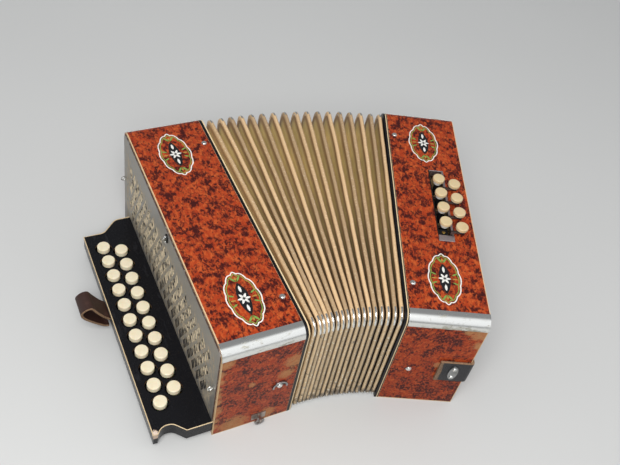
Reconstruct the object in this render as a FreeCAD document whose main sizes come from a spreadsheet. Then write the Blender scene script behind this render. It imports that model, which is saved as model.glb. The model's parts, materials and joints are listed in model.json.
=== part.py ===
"""Two-row diatonic button accordion, lying on its back with the bellows fanned open.

Millimetres, +Z up. The front of the instrument faces up, +X runs from the treble end to the bass
end, and +Y points to the top of the instrument. The origin is the middle of the treble casing's
back face, which rests on the ground. The bass end is drawn in a frame of its own, whose origin is
the middle of its bellows frame at ground level, and is then turned through the fan angle.
"""
import FreeCAD, Part
import math
import os

import Sketcher
from FreeCAD import Placement, Rotation, Vector

SIZES = [
    # casings
    ("casing_height", 280, "casing from bottom to top of the instrument, along Y"),
    ("casing_depth", 132, "casing from back to front, along Z"),
    ("treble_width", 75, "treble casing along the bellows axis"),
    ("bass_width", 74, "bass casing along the bellows axis"),
    ("wall", 7, "casing wall"),
    ("corner_radius", 10.2, "rounded front edges of both casings"),
    ("trim_thickness", 0.6, "metal strip over a rounded edge"),
    ("trim_lap", 1.0, "flat part of the strip past the rounding"),
    ("fit", 0.2, "clearance of a piece let into another"),
    ("seat_gap", 0.3, "clearance between pieces that only rest on each other"),
    # bellows
    ("fold_count", 17, "ridges of the bellows"),
    ("fan_angle", 23.6, "angle between the two ends at rest, in degrees"),
    ("fan_reach", 347, "treble centre line to the line where the fan closes"),
    ("bass_drift", 3.5, "bass centre line further out than the treble one"),
    ("fold_depth", 18, "ridge to valley"),
    ("fold_card", 5, "card of a fold, measured along its depth"),
    ("bellows_inset", 0.8, "ridges inside the casing's outline"),
    ("ridge_radius", 11.2, "front corner of a ridge"),
    ("ridge_back_radius", 6, "back corner of a ridge"),
    ("valley_radius", 3, "corner of a valley"),
    ("corner_cap_depth", 3, "metal corner down the flank"),
    ("corner_cap_half", 1.7, "half breadth of a metal corner"),
    ("corner_cap_skin", 0.5, "metal of a corner"),
    ("frame_thickness", 4, "bellows frame between casing and folds"),
    ("frame_border", 26, "bellows frame from its outer edge to its opening"),
    ("lip_depth", 9, "bellows frame let into the casing"),
    ("lip_breadth", 6, "wood of the let-in lip"),
    ("pin_edge", 6, "bellows pin from the casing's edge"),
    ("pin_spread", 100, "bellows pin from the centre line"),
    ("pin_head", 2.8, "radius of a domed head"),
    ("pin_crown", 1.4, "radius of a domed head at its crown"),
    ("pin_dome", 1.8, "height of a domed head"),
    # treble fingerboard and keys
    ("board_reach", 53.6, "fingerboard out of the end face"),
    ("board_top", 22.6, "fingerboard's playing face above the ground"),
    ("board_skin", 3, "fingerboard's perforated face"),
    ("board_rim", 4, "fingerboard's outer rim"),
    ("base_thickness", 2.5, "plate that closes the fingerboard below"),
    ("base_tongue", 12, "that plate inside the casing"),
    ("board_upper", 106, "top end of the fingerboard at its outer edge"),
    ("board_upper_root", 120.8, "top end at the casing"),
    ("upper_turn", 32.5, "foot of the top end's curve, out of the end face"),
    ("upper_crest", 17, "crest of the top end's curve, out of the end face"),
    ("board_lower", 134.5, "bottom end at its outer edge, below the centre line"),
    ("board_lower_root", 138.8, "bottom end at the casing, below the centre line"),
    ("hump_crest", 128.3, "crest of the bottom end's hump, below the centre line"),
    ("hump_foot", 49.5, "outer foot of the hump, out of the end face"),
    ("hump_outer", 44.5, "outer bend of the hump, out of the end face"),
    ("hump_inner", 34.5, "inner bend of the hump, out of the end face"),
    ("hump_dip", 24.3, "dip between hump and casing, out of the end face"),
    ("ogee_radius", 10, "curves of the fingerboard's ends"),
    ("key_pitch", 19.1, "buttons of one row"),
    ("outer_keys", 11, "buttons of the outer row"),
    ("first_key", 85.9, "highest button of the outer row above the centre line"),
    ("outer_row", 38.3, "outer row out of the end face"),
    ("inner_row", 22.1, "inner row out of the end face"),
    ("row_offset", 8.5, "inner row below the outer one"),
    ("button_radius", 6.4, "treble button"),
    ("button_rise", 5, "button above the fingerboard"),
    ("button_body", 7.2, "button from its top to its shoulder"),
    ("button_hole", 8.5, "radius of the hole round a button"),
    ("stem_side", 5, "square stem under a button"),
    ("lever_breadth", 3, "treble lever along Y"),
    ("lever_height", 3.5, "treble lever's thickness"),
    ("boss_radius", 3.9, "lever round its axle"),
    ("boss_taper", 9.8, "start of the lever's swelling, from the axle"),
    ("upright_past", 8.7, "lever's upright past the middle of its pallet"),
    ("axle_inside", 6, "treble axle inside the end face"),
    ("axle_height", 15.25, "treble axle above the ground"),
    ("axle_radius", 1.5, "axle of the keys"),
    ("axle_clearance", 0.05, "radial clearance on the axle"),
    ("axle_margin", 7, "axle past the last lever"),
    ("post_breadth", 3, "axle post along Y"),
    ("spring_breadth", 2.4, "leaf spring under a lever"),
    ("spring_skin", 0.5, "metal of a leaf spring"),
    ("spring_length", 22, "leaf spring along X"),
    ("spring_inside", 2, "leaf spring inside the end face"),
    # treble action board
    ("soundboard_inside", 22, "treble soundboard inside the end face"),
    ("soundboard_thickness", 5, "boards that carry the reeds"),
    ("hole_breadth", 9, "tone hole along Y"),
    ("hole_length", 20, "tone hole along Z"),
    ("pallet_length", 26, "pallet along Z"),
    ("pallet_breadth", 12.6, "pallet along Y"),
    ("pallet_wood", 4.5, "wood of a pallet"),
    ("pallet_leather", 1.7, "leather facing of a pallet"),
    ("inner_pallet_drop", 78, "middle of the inner row's pallets below the front"),
    ("outer_pallet_drop", 40, "middle of the outer row's pallets below the front"),
    ("reed_block_height", 32, "reed block off the soundboard"),
    ("reed_block_base", 20, "reed block's base"),
    ("reed_block_top", 13, "reed block's far edge"),
    # grille
    ("grille_skin", 0.8, "sheet metal of the grille"),
    ("grille_border", 2, "grille inside the casing's outline"),
    ("lattice_pitch", 17.5, "diagonal lattice of slots"),
    ("slot_length", 11.5, "slot of the lattice"),
    ("slot_breadth", 3.1, "slot of the lattice"),
    ("slot_pair", 5.4, "spacing of the two slots of a cell"),
    ("lattice_drop", 27, "plain metal below the front"),
    ("lattice_margin", 15, "plain metal at the grille's ends"),
    ("ring_radius", 4, "ring of a grille screw"),
    ("ring_wire", 0.8, "radius of the ring's wire"),
    ("ring_inset", 9, "ring screw from the casing's end"),
    ("ring_height", 62, "ring screw above the ground"),
    ("hook_skin", 1.2, "plate of the turn hook"),
    ("hook_plate_breadth", 7, "plate of the turn hook, along Y"),
    ("hook_plate_height", 9, "plate of the turn hook, along Z"),
    ("hook_plate_drop", 16, "lower edge of the hook's plate below the front"),
    ("hook_tongue", 3, "square tongue of the turn hook"),
    ("hook_tongue_height", 8, "tongue of the turn hook, along Z"),
    ("hook_tongue_drop", 10, "lower end of the hook's tongue below the front"),
    # thumb strap
    ("thumb_centre", 10, "middle of the thumb strap above the centre line"),
    ("strap_skin", 2.4, "leather of both straps"),
    ("thumb_breadth", 22, "thumb strap along Y"),
    ("thumb_loop_out", 21, "middle of the loop's bend outside the fingerboard"),
    ("thumb_loop_up", 37, "middle of the loop's bend above the ground"),
    ("thumb_loop_radius", 8.2, "outside of the loop's bend"),
    ("thumb_foot", 4.8, "foot of the loop, out of the fingerboard"),
    ("thumb_foot_low", 1.5, "foot of the loop above the fingerboard's lower edge"),
    ("thumb_outer_root", 1, "outer leg of the loop above its foot"),
    ("thumb_inner_drop", 2.5, "inner leg of the loop below the playing face"),
    ("thumb_hole_rise", 6, "opening of the loop above the outer leg's root"),
    ("thumb_hole_in", 5.3, "opening of the loop from the fingerboard's edge"),
    ("thumb_hole_drop", 2.4, "opening of the loop below the inner leg's root"),
    # strap ring and studs on the lower faces
    ("bracket_inside", 30.5, "strap ring bracket from the bellows edge of the treble casing"),
    ("bracket_height", 11, "strap ring bracket above the ground"),
    ("bracket_plate", 14, "bracket's plate, along X"),
    ("bracket_plate_height", 9.4, "bracket's plate, along Z"),
    ("bracket_skin", 1.2, "metal of the bracket"),
    ("lug_reach", 7, "lug of the strap ring off the lower face"),
    ("lug_skin", 2, "lug, along X"),
    ("lug_height", 5, "lug, along Z"),
    ("lug_bore_out", 4.6, "middle of the lug's bore off the lower face"),
    ("lug_clearance", 0.6, "radial clearance of the ring's wire in the lug"),
    ("treble_stud_inside", 14.5, "closing stud from the bellows edge of the treble casing"),
    ("bass_stud_inside", 17.6, "closing stud from the bellows edge of the bass casing"),
    ("stud_height", 54, "closing studs above the ground"),
    ("crescent_radius", 8.5, "half-moon guard over the treble stud"),
    ("crescent_skin", 1.6, "metal of the guard"),
    # bass keys
    ("bass_pitch", 19.5, "buttons of a bass column"),
    ("bass_keys", 4, "buttons of a bass column"),
    ("left_column", 44, "left column from the casing's bellows edge"),
    ("right_column", 59.3, "right column from the casing's bellows edge"),
    ("left_first", 31, "highest left button above the centre line"),
    ("right_first", 25.5, "highest right button above the centre line"),
    ("bass_button_radius", 6.5, "bass button"),
    ("bass_button_body", 3.6, "bass button's thickness"),
    ("bass_button_rise", 9.6, "bass button's top above the front"),
    ("bass_button_bevel", 1, "bevelled rim of a bass button"),
    ("bass_axle_inside", 14, "bass axle from the casing's bellows edge"),
    ("bass_axle_drop", 12, "bass axle below the front"),
    ("bass_boss_radius", 3.5, "bass lever round its axle"),
    ("bass_boss_taper", 7, "end of the bass lever's swelling, from the axle"),
    ("bass_lever_height", 4, "bass lever's thickness"),
    ("bass_lever_breadth", 3, "bass lever along Y"),
    ("riser_inside", 48.2, "right lever's riser from the casing's bellows edge"),
    ("riser_side", 2.5, "right lever's riser"),
    ("crank_skin", 1.6, "right lever's crank over the front"),
    ("crank_rise", 3.7, "crank above the front"),
    ("slot_inside", 37, "key slot from the casing's bellows edge"),
    ("slot_width", 16, "key slot along X"),
    ("slot_top", 51, "key slot's top end above the centre line"),
    ("slot_bottom", 46, "key slot's bottom end below the centre line"),
    ("channel_skin", 1, "sheet metal lining of the slot"),
    ("channel_lip", 6.5, "sloping metal lip at the slot's bottom end, along Y"),
    ("channel_rise", 0.5, "lining above the front"),
    ("channel_crest", 1.5, "crest of the sloping lip above the front"),
    ("channel_block", 8.6, "black end block in the channel, along Y"),
    ("channel_block_rise", 0.75, "end block above the front"),
    ("bass_board_drop", 20, "bass soundboard below the front"),
    ("bass_board_skin", 4, "bass soundboard"),
    ("bass_hole", 9, "square hole of the bass soundboard"),
    ("left_pallet", 35, "left pallets from the casing's bellows edge"),
    ("right_pallet", 52, "right pallets from the casing's bellows edge"),
    ("bass_pallet_side", 13, "bass pallet"),
    ("bass_pallet_wood", 4, "wood of a bass pallet"),
    ("rod_side", 2.5, "rod from lever to pallet"),
    ("inner_board_inside", 62, "inner end board from the casing's bellows edge"),
    ("end_cover_skin", 4, "bass end cover"),
    ("bass_reed_block_height", 34, "bass reed block below its soundboard"),
    ("bass_pocket_depth", 14, "pallet pocket of the bass reed block"),
    ("bass_pocket_gap", 1.3, "clearance round a pallet in its pocket"),
    ("bass_pocket_extra", 2, "pocket longer towards the bellows"),
    ("bass_block_margin", 6.5, "reed block past the left pallets"),
    ("bass_block_end", 1, "reed block past the pitch of its last pocket"),
    ("cover_slot_low", 29, "lower row of sound slots above the ground"),
    ("cover_slot_drop", 21, "upper row of sound slots below the front"),
    ("cover_slot_length", 22, "sound slot of the end cover"),
    ("cover_slot_breadth", 5, "sound slot of the end cover"),
    ("cover_slot_reach", 90, "first sound slot below the centre line"),
    ("cover_slot_run", 157, "first to last sound slot of a row"),
    ("cover_slots", 6, "sound slots of a row"),
    # air button
    ("air_above", 62, "air button above the centre line"),
    ("air_drop", 40, "air button below the front"),
    ("air_button_radius", 8, "air button"),
    ("air_button_length", 12, "air button out of the end cover"),
    ("air_cap", 5, "cap of the air button along its rod"),
    ("air_rod_radius", 2.5, "air button's rod"),
    ("air_hole_radius", 8, "air hole"),
    ("air_pallet_radius", 11, "air pallet"),
    ("air_pallet_skin", 4, "air pallet"),
    # hand strap
    ("hand_strap_breadth", 30, "hand strap along Z"),
    ("hand_strap_height", 57, "middle of the hand strap above the ground"),
    ("hand_strap_lap", 30, "hand strap lying on a lower or upper face"),
    ("hand_strap_turn", 127, "straight ends of the hand strap past its arch, from the centre line"),
    ("hand_strap_arch", 24, "hand strap off the end cover at its middle"),
    ("strap_plate_length", 21, "oval plate on the strap's end"),
    ("strap_plate_breadth", 9, "oval plate on the strap's end"),
    ("strap_plate_skin", 1.2, "metal of the oval plate"),
]

END = "-sizes.treble_width / 2"          # outer end face of the treble casing
MOUTH = "sizes.treble_width / 2"         # bellows side of the treble casing
CASE = "sizes.frame_thickness"           # bellows side of the bass casing, in the bass frame
FRONT = "sizes.casing_depth"
HALF = "sizes.casing_height / 2"
BASS_RADIUS = "(sizes.fan_reach + sizes.bass_drift)"
FAN = "(sizes.fan_angle * 1 deg)"
RIGHT_LANE = "(sizes.left_first - sizes.bass_pitch / 2)"    # highest lever of the right column
INNER_FIRST = "(sizes.first_key - sizes.row_offset)"        # highest key of the inner row
OUTER_PALLETS = "(sizes.casing_depth - sizes.outer_pallet_drop)"
INNER_PALLETS = "(sizes.casing_depth - sizes.inner_pallet_drop)"
AIR = ("sizes.air_above", "sizes.casing_depth - sizes.air_drop")

doc = FreeCAD.newDocument("button_accordion")
sizes = doc.addObject("Spreadsheet::Sheet", "sizes")
nodes = []


def fill_sheet():
    for row, (alias, number, note) in enumerate(SIZES, start=1):
        sizes.set("A%d" % row, note)
        sizes.set("B%d" % row, str(number))
        sizes.setAlias("B%d" % row, alias)
    doc.recompute()


def value(text):
    """The number that an expression gives."""
    return float(sizes.evalExpression(text.replace("sizes.", "")))


def bind(item, expressions):
    for path, text in expressions.items():
        item.setExpression(path, text)


def total(*terms):
    return " + ".join("(%s)" % term for term in terms)


def minus(first, *terms):
    return "(%s)" % first + "".join(" - (%s)" % term for term in terms)


# ---------------------------------------------------------------- primitives and booleans

def box(name, corner, extent):
    """A block from its lowest corner and its three lengths, all given as expressions."""
    item = doc.addObject("Part::Box", name)
    bind(item, dict(zip(("Placement.Base.x", "Placement.Base.y", "Placement.Base.z"), corner)))
    bind(item, dict(zip(("Length", "Width", "Height"), extent)))
    return item


TURN = {"x": Rotation(Vector(0, 1, 0), 90), "y": Rotation(Vector(1, 0, 0), -90), "z": Rotation(),
        "-y": Rotation(Vector(1, 0, 0), 90)}


def rod(name, start, axis, radius, length):
    """A round bar from the middle of its first end, along x, y or z."""
    item = doc.addObject("Part::Cylinder", name)
    item.Placement = Placement(Vector(), TURN[axis])
    bind(item, dict(zip(("Placement.Base.x", "Placement.Base.y", "Placement.Base.z"), start)))
    bind(item, {"Radius": radius, "Height": length})
    return item


def cone(name, start, axis, wide, narrow, height):
    item = doc.addObject("Part::Cone", name)
    item.Placement = Placement(Vector(), TURN[axis])
    bind(item, dict(zip(("Placement.Base.x", "Placement.Base.y", "Placement.Base.z"), start)))
    bind(item, {"Radius1": wide, "Radius2": narrow, "Height": height})
    return item


def ring(name, middle, axis, radius, wire):
    """A closed ring of square wire."""
    start = list(middle)
    place = "xyz".index(axis)
    start[place] = minus(start[place], wire)
    outer = rod(name + "_outer", start, axis, total(radius, wire), wire + " * 2")
    inner = rod(name + "_inner", start, axis, minus(radius, wire), wire + " * 2")
    return cut(name, outer, inner)


def cut(name, base, tool):
    item = doc.addObject("Part::Cut", name)
    item.Base = base
    item.Tool = tool
    return item


def fuse(name, parts):
    item = doc.addObject("Part::MultiFuse", name)
    item.Shapes = parts
    item.Refine = True
    return item


def group(name, parts):
    """Separate solids that share a node."""
    item = doc.addObject("Part::Compound", name)
    item.Links = parts
    return item


def shaped(name, shape):
    item = doc.addObject("Part::Feature", name)
    item.Shape = shape
    return item


def flat_faced(rings):
    """A solid with a flat or folded-flat panel between each two neighbouring rings of points."""
    return Part.makeSolid(sewn(panels(rings) + [polygon_face(rings[0]), polygon_face(rings[-1])]))


def panels(rings):
    faces = []
    for near, far in zip(rings, rings[1:]):
        count = len(near)
        for index in range(count):
            following = (index + 1) % count
            corners = [near[index], near[following], far[following], far[index]]
            faces += flat_or_folded(corners)
    return faces


def flat_or_folded(corners):
    """One face if the four corners lie in a plane, or else two triangles."""
    first, second, third, fourth = corners
    normal = (second - first).cross(third - first)
    if abs(normal.dot(fourth - first)) < 1e-6 * normal.Length:
        return [polygon_face(corners)]
    return [polygon_face([first, second, third]), polygon_face([first, third, fourth])]


def polygon_face(corners):
    return Part.Face(Part.makePolygon(corners + corners[:1]))


def sewn(faces):
    shell = Part.makeShell(faces)
    shell.sewShape()
    return shell


# ---------------------------------------------------------------- bodies, sketches and features

def body(name):
    return doc.addObject("PartDesign::Body", name)


def sketch_on(owner, role, offset):
    """An empty sketch on one of a body's own origin planes, moved along the plane's normal."""
    plane = next(item for item in owner.Origin.OriginFeatures if item.Role == role)
    sketch = owner.newObject("Sketcher::SketchObject", owner.Name + "_sketch")
    sketch.AttachmentSupport = [(plane, "")]
    sketch.MapMode = "FlatFace"
    bind(sketch, {"AttachmentOffset.Base.z": offset})
    return sketch


def place_point(sketch, geometry, position, across, up):
    for kind, text in (("DistanceX", across), ("DistanceY", up)):
        number = sketch.addConstraint(
            Sketcher.Constraint(kind, -1, 1, geometry, position, value(text)))
        bind(sketch, {"Constraints[%d]" % number: text})


def polygon(owner, role, offset, points):
    """A closed outline whose corners are expressions."""
    sketch = sketch_on(owner, role, offset)
    add_polygon(sketch, points)
    return sketch


def add_polygon(sketch, points):
    corners = [Vector(value(across), value(up), 0) for across, up in points]
    first = len(sketch.Geometry)
    count = len(points)
    for index in range(count):
        sketch.addGeometry(Part.LineSegment(corners[index], corners[(index + 1) % count]), False)
    for index in range(count):
        following = first + (index + 1) % count
        sketch.addConstraint(Sketcher.Constraint("Coincident", first + index, 2, following, 1))
    for index, (across, up) in enumerate(points):
        place_point(sketch, first + index, 1, across, up)


def rectangle(owner, role, offset, low, high):
    return polygon(owner, role, offset,
                   [(low[0], low[1]), (high[0], low[1]), (high[0], high[1]), (low[0], high[1])])


def circles(owner, role, offset, middles, radius):
    sketch = sketch_on(owner, role, offset)
    for index, (across, up) in enumerate(middles):
        centre = Vector(value(across), value(up), 0)
        sketch.addGeometry(Part.Circle(centre, Vector(0, 0, 1), value(radius)), False)
        place_point(sketch, index, 3, across, up)
        number = sketch.addConstraint(Sketcher.Constraint("Radius", index, value(radius)))
        bind(sketch, {"Constraints[%d]" % number: radius})
    return sketch


def pad(owner, sketch, length, backwards=False):
    feature = owner.newObject("PartDesign::Pad", owner.Name + "_pad")
    feature.Profile = sketch
    feature.Reversed = backwards
    bind(feature, {"Length": length})
    return feature


def pocket(owner, sketch, length, backwards=False):
    """Cuts against the sketch's normal, or along it when backwards."""
    doc.recompute()
    before = owner.Shape.Volume
    feature = owner.newObject("PartDesign::Pocket", owner.Name + "_pocket")
    feature.Profile = sketch
    feature.Reversed = backwards
    bind(feature, {"Length": length})
    doc.recompute()
    if owner.Shape.Volume > before - 1e-3:
        raise RuntimeError("pocket cuts nothing in " + owner.Name)
    return feature


def repeat(owner, feature, role, backwards, length, occurrences):
    """A row of a feature along one of the body's own axes."""
    axis = next(item for item in owner.Origin.OriginFeatures if item.Role == role)
    pattern = owner.newObject("PartDesign::LinearPattern", owner.Name + "_row")
    pattern.Originals = [feature]
    pattern.Direction = (axis, [""])
    pattern.Reversed = backwards
    bind(pattern, {"Length": length, "Occurrences": occurrences})
    owner.Tip = pattern
    return pattern


def edges_where(shape, wanted):
    return ["Edge%d" % (index + 1) for index, edge in enumerate(shape.Edges) if wanted(edge)]


def lies_along(edge, direction):
    run = edge.Vertexes[-1].Point - edge.Vertexes[0].Point
    return run.Length > 1e-6 and run.cross(direction).Length < 1e-6 * run.Length


def round_edges(owner, wanted, radius, kind="Fillet"):
    doc.recompute()
    base = owner.Tip
    feature = owner.newObject("PartDesign::" + kind, owner.Name + "_" + kind.lower())
    feature.Base = (base, edges_where(base.Shape, wanted))
    bind(feature, {"Radius" if kind == "Fillet" else "Size": radius})
    return feature


# ---------------------------------------------------------------- nodes

def node(item, name):
    item.Label = name
    nodes.append(item)
    return item


def bass_node(item, name):
    """A node drawn in the bass frame, turned and moved to where the bass end lies."""
    item.Placement = Placement(Vector(), Rotation(Vector(0, 0, 1), 1))
    bind(item, {
        "Placement.Rotation.Angle": "-sizes.fan_angle",
        "Placement.Base.x": total(MOUTH, CASE, BASS_RADIUS + " * sin" + FAN),
        "Placement.Base.y": minus(BASS_RADIUS + " * cos" + FAN, "sizes.fan_reach"),
    })
    return node(item, name)


# ---------------------------------------------------------------- casings

def casing(name, start, width, slot=False):
    """Four walls with the two front edges rounded, open towards the bellows and at the end."""
    owner = body(name)
    pad(owner, rectangle(owner, "YZ_Plane", start, ("-" + HALF, "0"), (HALF, FRONT)), width)
    front = value(FRONT)
    round_edges(owner, lambda edge: lies_along(edge, Vector(1, 0, 0))
                and edge.CenterOfMass.z > front - 1e-3, "sizes.corner_radius")
    inner = rectangle(owner, "YZ_Plane", start,
                      (total("-" + HALF, "sizes.wall"), "sizes.wall"),
                      (minus(HALF, "sizes.wall"), minus(FRONT, "sizes.wall")))
    pocket(owner, inner, width, backwards=True)
    if slot:
        outline = rectangle(owner, "XY_Plane", FRONT,
                            (total(CASE, "sizes.slot_inside"), "-sizes.slot_bottom"),
                            (total(CASE, "sizes.slot_inside", "sizes.slot_width"), "sizes.slot_top"))
        pocket(owner, outline, "sizes.wall")
    return owner


def pin_place(start, width):
    """Bellows pins sit near whichever edge of a casing faces the bellows."""
    if start == END:
        return minus(total(start, width), "sizes.pin_edge")
    return total(start, "sizes.pin_edge")


def corner_trim(name, start, width, side):
    """Bent metal strip over one rounded front edge; side is "" for the top and "-" for the bottom."""
    owner = body(name)
    reach = total("sizes.corner_radius", "sizes.trim_lap")

    def point(out, up):
        return (side + "(" + total(HALF, out) + ")", total(FRONT, up))

    skin = "sizes.trim_thickness"
    outline = [point(skin, "-(" + reach + ")"), point(skin, skin), point("-(" + reach + ")", skin),
               point("-(" + reach + ")", "0"), point("0", "0"), point("0", "-(" + reach + ")")]
    pad(owner, polygon(owner, "YZ_Plane", start, outline), width)
    outside = value(total(HALF, skin))
    inside = value(HALF)
    front = value(FRONT)
    along = Vector(1, 0, 0)
    round_edges(owner, lambda edge: lies_along(edge, along)
                and abs(abs(edge.CenterOfMass.y) - outside) < 1e-3
                and edge.CenterOfMass.z > front + 1e-3, total("sizes.corner_radius", skin))
    round_edges(owner, lambda edge: lies_along(edge, along)
                and abs(abs(edge.CenterOfMass.y) - inside) < 1e-3
                and abs(edge.CenterOfMass.z - front) < 1e-3, "sizes.corner_radius")
    return owner


def bellows_frame(name, face, start_lip, lip_towards):
    """Flat frame between casing and folds, with a lip let into the casing's mouth."""
    owner = body(name)
    pad(owner, rectangle(owner, "YZ_Plane", face, ("-" + HALF, "0"), (HALF, FRONT)),
        "sizes.frame_thickness")
    front = value(FRONT)
    round_edges(owner, lambda edge: lies_along(edge, Vector(1, 0, 0))
                and edge.CenterOfMass.z > front - 1e-3, "sizes.corner_radius")
    inner = rectangle(owner, "YZ_Plane", face,
                      (total("-" + HALF, "sizes.frame_border"), "sizes.frame_border"),
                      (minus(HALF, "sizes.frame_border"), minus(FRONT, "sizes.frame_border")))
    pocket(owner, inner, "sizes.frame_thickness", backwards=True)
    set_in = total("sizes.wall", "sizes.fit")
    lip = rectangle(owner, "YZ_Plane", start_lip,
                    (total("-" + HALF, set_in), set_in), (minus(HALF, set_in), minus(FRONT, set_in)))
    inside = total(set_in, "sizes.lip_breadth")
    add_polygon(lip, [(total("-" + HALF, inside), inside), (minus(HALF, inside), inside),
                      (minus(HALF, inside), minus(FRONT, inside)),
                      (total("-" + HALF, inside), minus(FRONT, inside))])
    pad(owner, lip, "sizes.lip_depth", backwards=lip_towards)
    return owner


def stud(name, start, axis):
    """Domed head on a face; the axis points out of the face."""
    return cone(name, start, axis, "sizes.pin_head", "sizes.pin_crown", "sizes.pin_dome")


def build_casings():
    node(casing("treble_casing", END, "sizes.treble_width"), "treble_casing")
    node(group("treble_corner_trims", [
        corner_trim("treble_trim_top", END, "sizes.treble_width", ""),
        corner_trim("treble_trim_bottom", END, "sizes.treble_width", "-")]), "treble_corner_trims")
    node(bellows_frame("treble_bellows_frame", MOUTH, MOUTH, True), "treble_bellows_frame")
    bass_node(casing("bass_casing", CASE, "sizes.bass_width", slot=True), "bass_casing")
    bass_node(group("bass_corner_trims", [
        corner_trim("bass_trim_top", CASE, "sizes.bass_width", ""),
        corner_trim("bass_trim_bottom", CASE, "sizes.bass_width", "-")]), "bass_corner_trims")
    bass_node(bellows_frame("bass_bellows_frame", "0", CASE, False), "bass_bellows_frame")


def build_studs():
    """Heads of the front bellows pins, and the studs for the closing strap."""
    lower = "-" + HALF
    for side, start, width, finish in (("treble", END, "sizes.treble_width", node),
                                       ("bass", CASE, "sizes.bass_width", bass_node)):
        across = pin_place(start, width)
        studs = [stud("%s_%s_pin" % (side, place), (across, sign + "sizes.pin_spread", FRONT), "z")
                 for place, sign in (("top", ""), ("bottom", "-"))]
        if side == "treble":
            closing = minus(MOUTH, "sizes.treble_stud_inside")
            studs.append(crescent(closing))
        else:
            closing = total(CASE, "sizes.bass_stud_inside")
        studs.append(stud("%s_closing_stud" % side, (closing, lower, "sizes.stud_height"), "-y"))
        finish(group("%s_studs" % side, studs), "%s_studs" % side)


def crescent(across):
    """Half-moon guard over the treble closing stud, standing off the lower face."""
    start = (across, "-" + HALF, "sizes.stud_height")
    outer = rod("crescent_outer", start, "-y", "sizes.crescent_radius", "sizes.pin_dome")
    outer.Angle = 180
    outer.Placement = Placement(outer.Placement.Base, TURN["-y"])
    inner = rod("crescent_inner", start, "-y", "sizes.crescent_radius - sizes.crescent_skin",
                "sizes.pin_dome")
    return cut("crescent", outer, inner)


# ---------------------------------------------------------------- bellows

def fan_frame(share):
    """Placement of the fan's section plane: local x runs up the instrument, local y to the front."""
    angle = math.radians(value("sizes.fan_angle")) * share
    radius = value("sizes.fan_reach") + value("sizes.bass_drift") * share
    apex = Vector(value(total(MOUTH, CASE)), -value("sizes.fan_reach"), 0)
    outward = Vector(math.sin(angle), math.cos(angle), 0)
    normal = outward.cross(Vector(0, 0, 1))
    return Placement(apex + outward * radius, Rotation(outward, Vector(0, 0, 1), normal, "ZXY"))


def corner_turns(top):
    """A front corner is folded in two steps round its radius, and a back corner in one."""
    return (0, 45, 90) if top > 0 else (0, 90)


def folded_ring(place, inset, front_radius, back_radius):
    """Outline of one ridge or valley."""
    half = value(HALF) - inset
    front = value(FRONT) - inset
    points = []
    for right, top, start in ((1, 1, 0), (-1, 1, 90), (-1, -1, 180), (1, -1, 270)):
        radius = front_radius if top > 0 else back_radius
        middle = Vector(right * (half - radius), front - radius if top > 0 else inset + radius, 0)
        for turn in corner_turns(top):
            angle = math.radians(start + turn)
            points.append(middle + Vector(math.cos(angle), math.sin(angle), 0) * radius)
    return [place.multVec(point) for point in points]


def plain_ring(place, inset):
    """Outline of the folds' inner side, which has plain corners."""
    half = value(HALF) - inset
    front = value(FRONT) - inset
    return [place.multVec(Vector(across, up, 0))
            for across, up in ((half, front), (-half, front), (-half, inset), (half, inset))]


def folds_hull():
    """Zigzag card between valleys and ridges, with every panel flat or creased once."""
    steps = 2 * int(value("sizes.fold_count"))
    ridge = value("sizes.bellows_inset")
    valley = ridge + value("sizes.fold_depth")
    outer = []
    inner = []
    for step in range(steps + 1):
        place = fan_frame(step / steps)
        if step % 2:
            outer.append(folded_ring(place, ridge, value("sizes.ridge_radius"),
                                     value("sizes.ridge_back_radius")))
        else:
            outer.append(folded_ring(place, valley, value("sizes.valley_radius"),
                                     value("sizes.valley_radius")))
        inner.append(plain_ring(place, (ridge if step % 2 else valley) + value("sizes.fold_card")))
    return flat_faced(outer).cut(flat_faced(inner))


def corner_cap(share, right, top):
    """Bent metal corner over one ridge: a chevron turned a quarter round the ridge's corner."""
    radius = value("sizes.ridge_radius" if top > 0 else "sizes.ridge_back_radius")
    inset = value("sizes.bellows_inset")
    across = right * (value(HALF) - inset - radius)
    up = value(FRONT) - inset - radius if top > 0 else inset + radius
    half = value("sizes.corner_cap_half")
    foot = radius - value("sizes.corner_cap_depth")
    peak = radius + value("sizes.fit")
    chevron = ((foot, -half), (peak + value("sizes.corner_cap_skin"), 0), (foot, half), (peak, 0))
    place = fan_frame(share)
    start = {(1, 1): 0, (-1, 1): 90, (-1, -1): 180, (1, -1): 270}[(right, top)]
    rings = []
    for turn in corner_turns(top):
        angle = math.radians(start + turn)
        rings.append([place.multVec(Vector(across + out * math.cos(angle),
                                           up + out * math.sin(angle), along))
                      for out, along in chevron])
    return flat_faced(rings)


def build_bellows():
    folds = int(value("sizes.fold_count"))
    node(shaped("bellows_folds", folds_hull()), "bellows_folds")
    caps = [corner_cap((2 * fold + 1) / (2 * folds), right, top)
            for fold in range(folds) for right, top in ((1, 1), (-1, 1), (-1, -1), (1, -1))]
    node(shaped("bellows_corners", Part.makeCompound(caps)), "bellows_corners")


# ---------------------------------------------------------------- fingerboard

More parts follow.
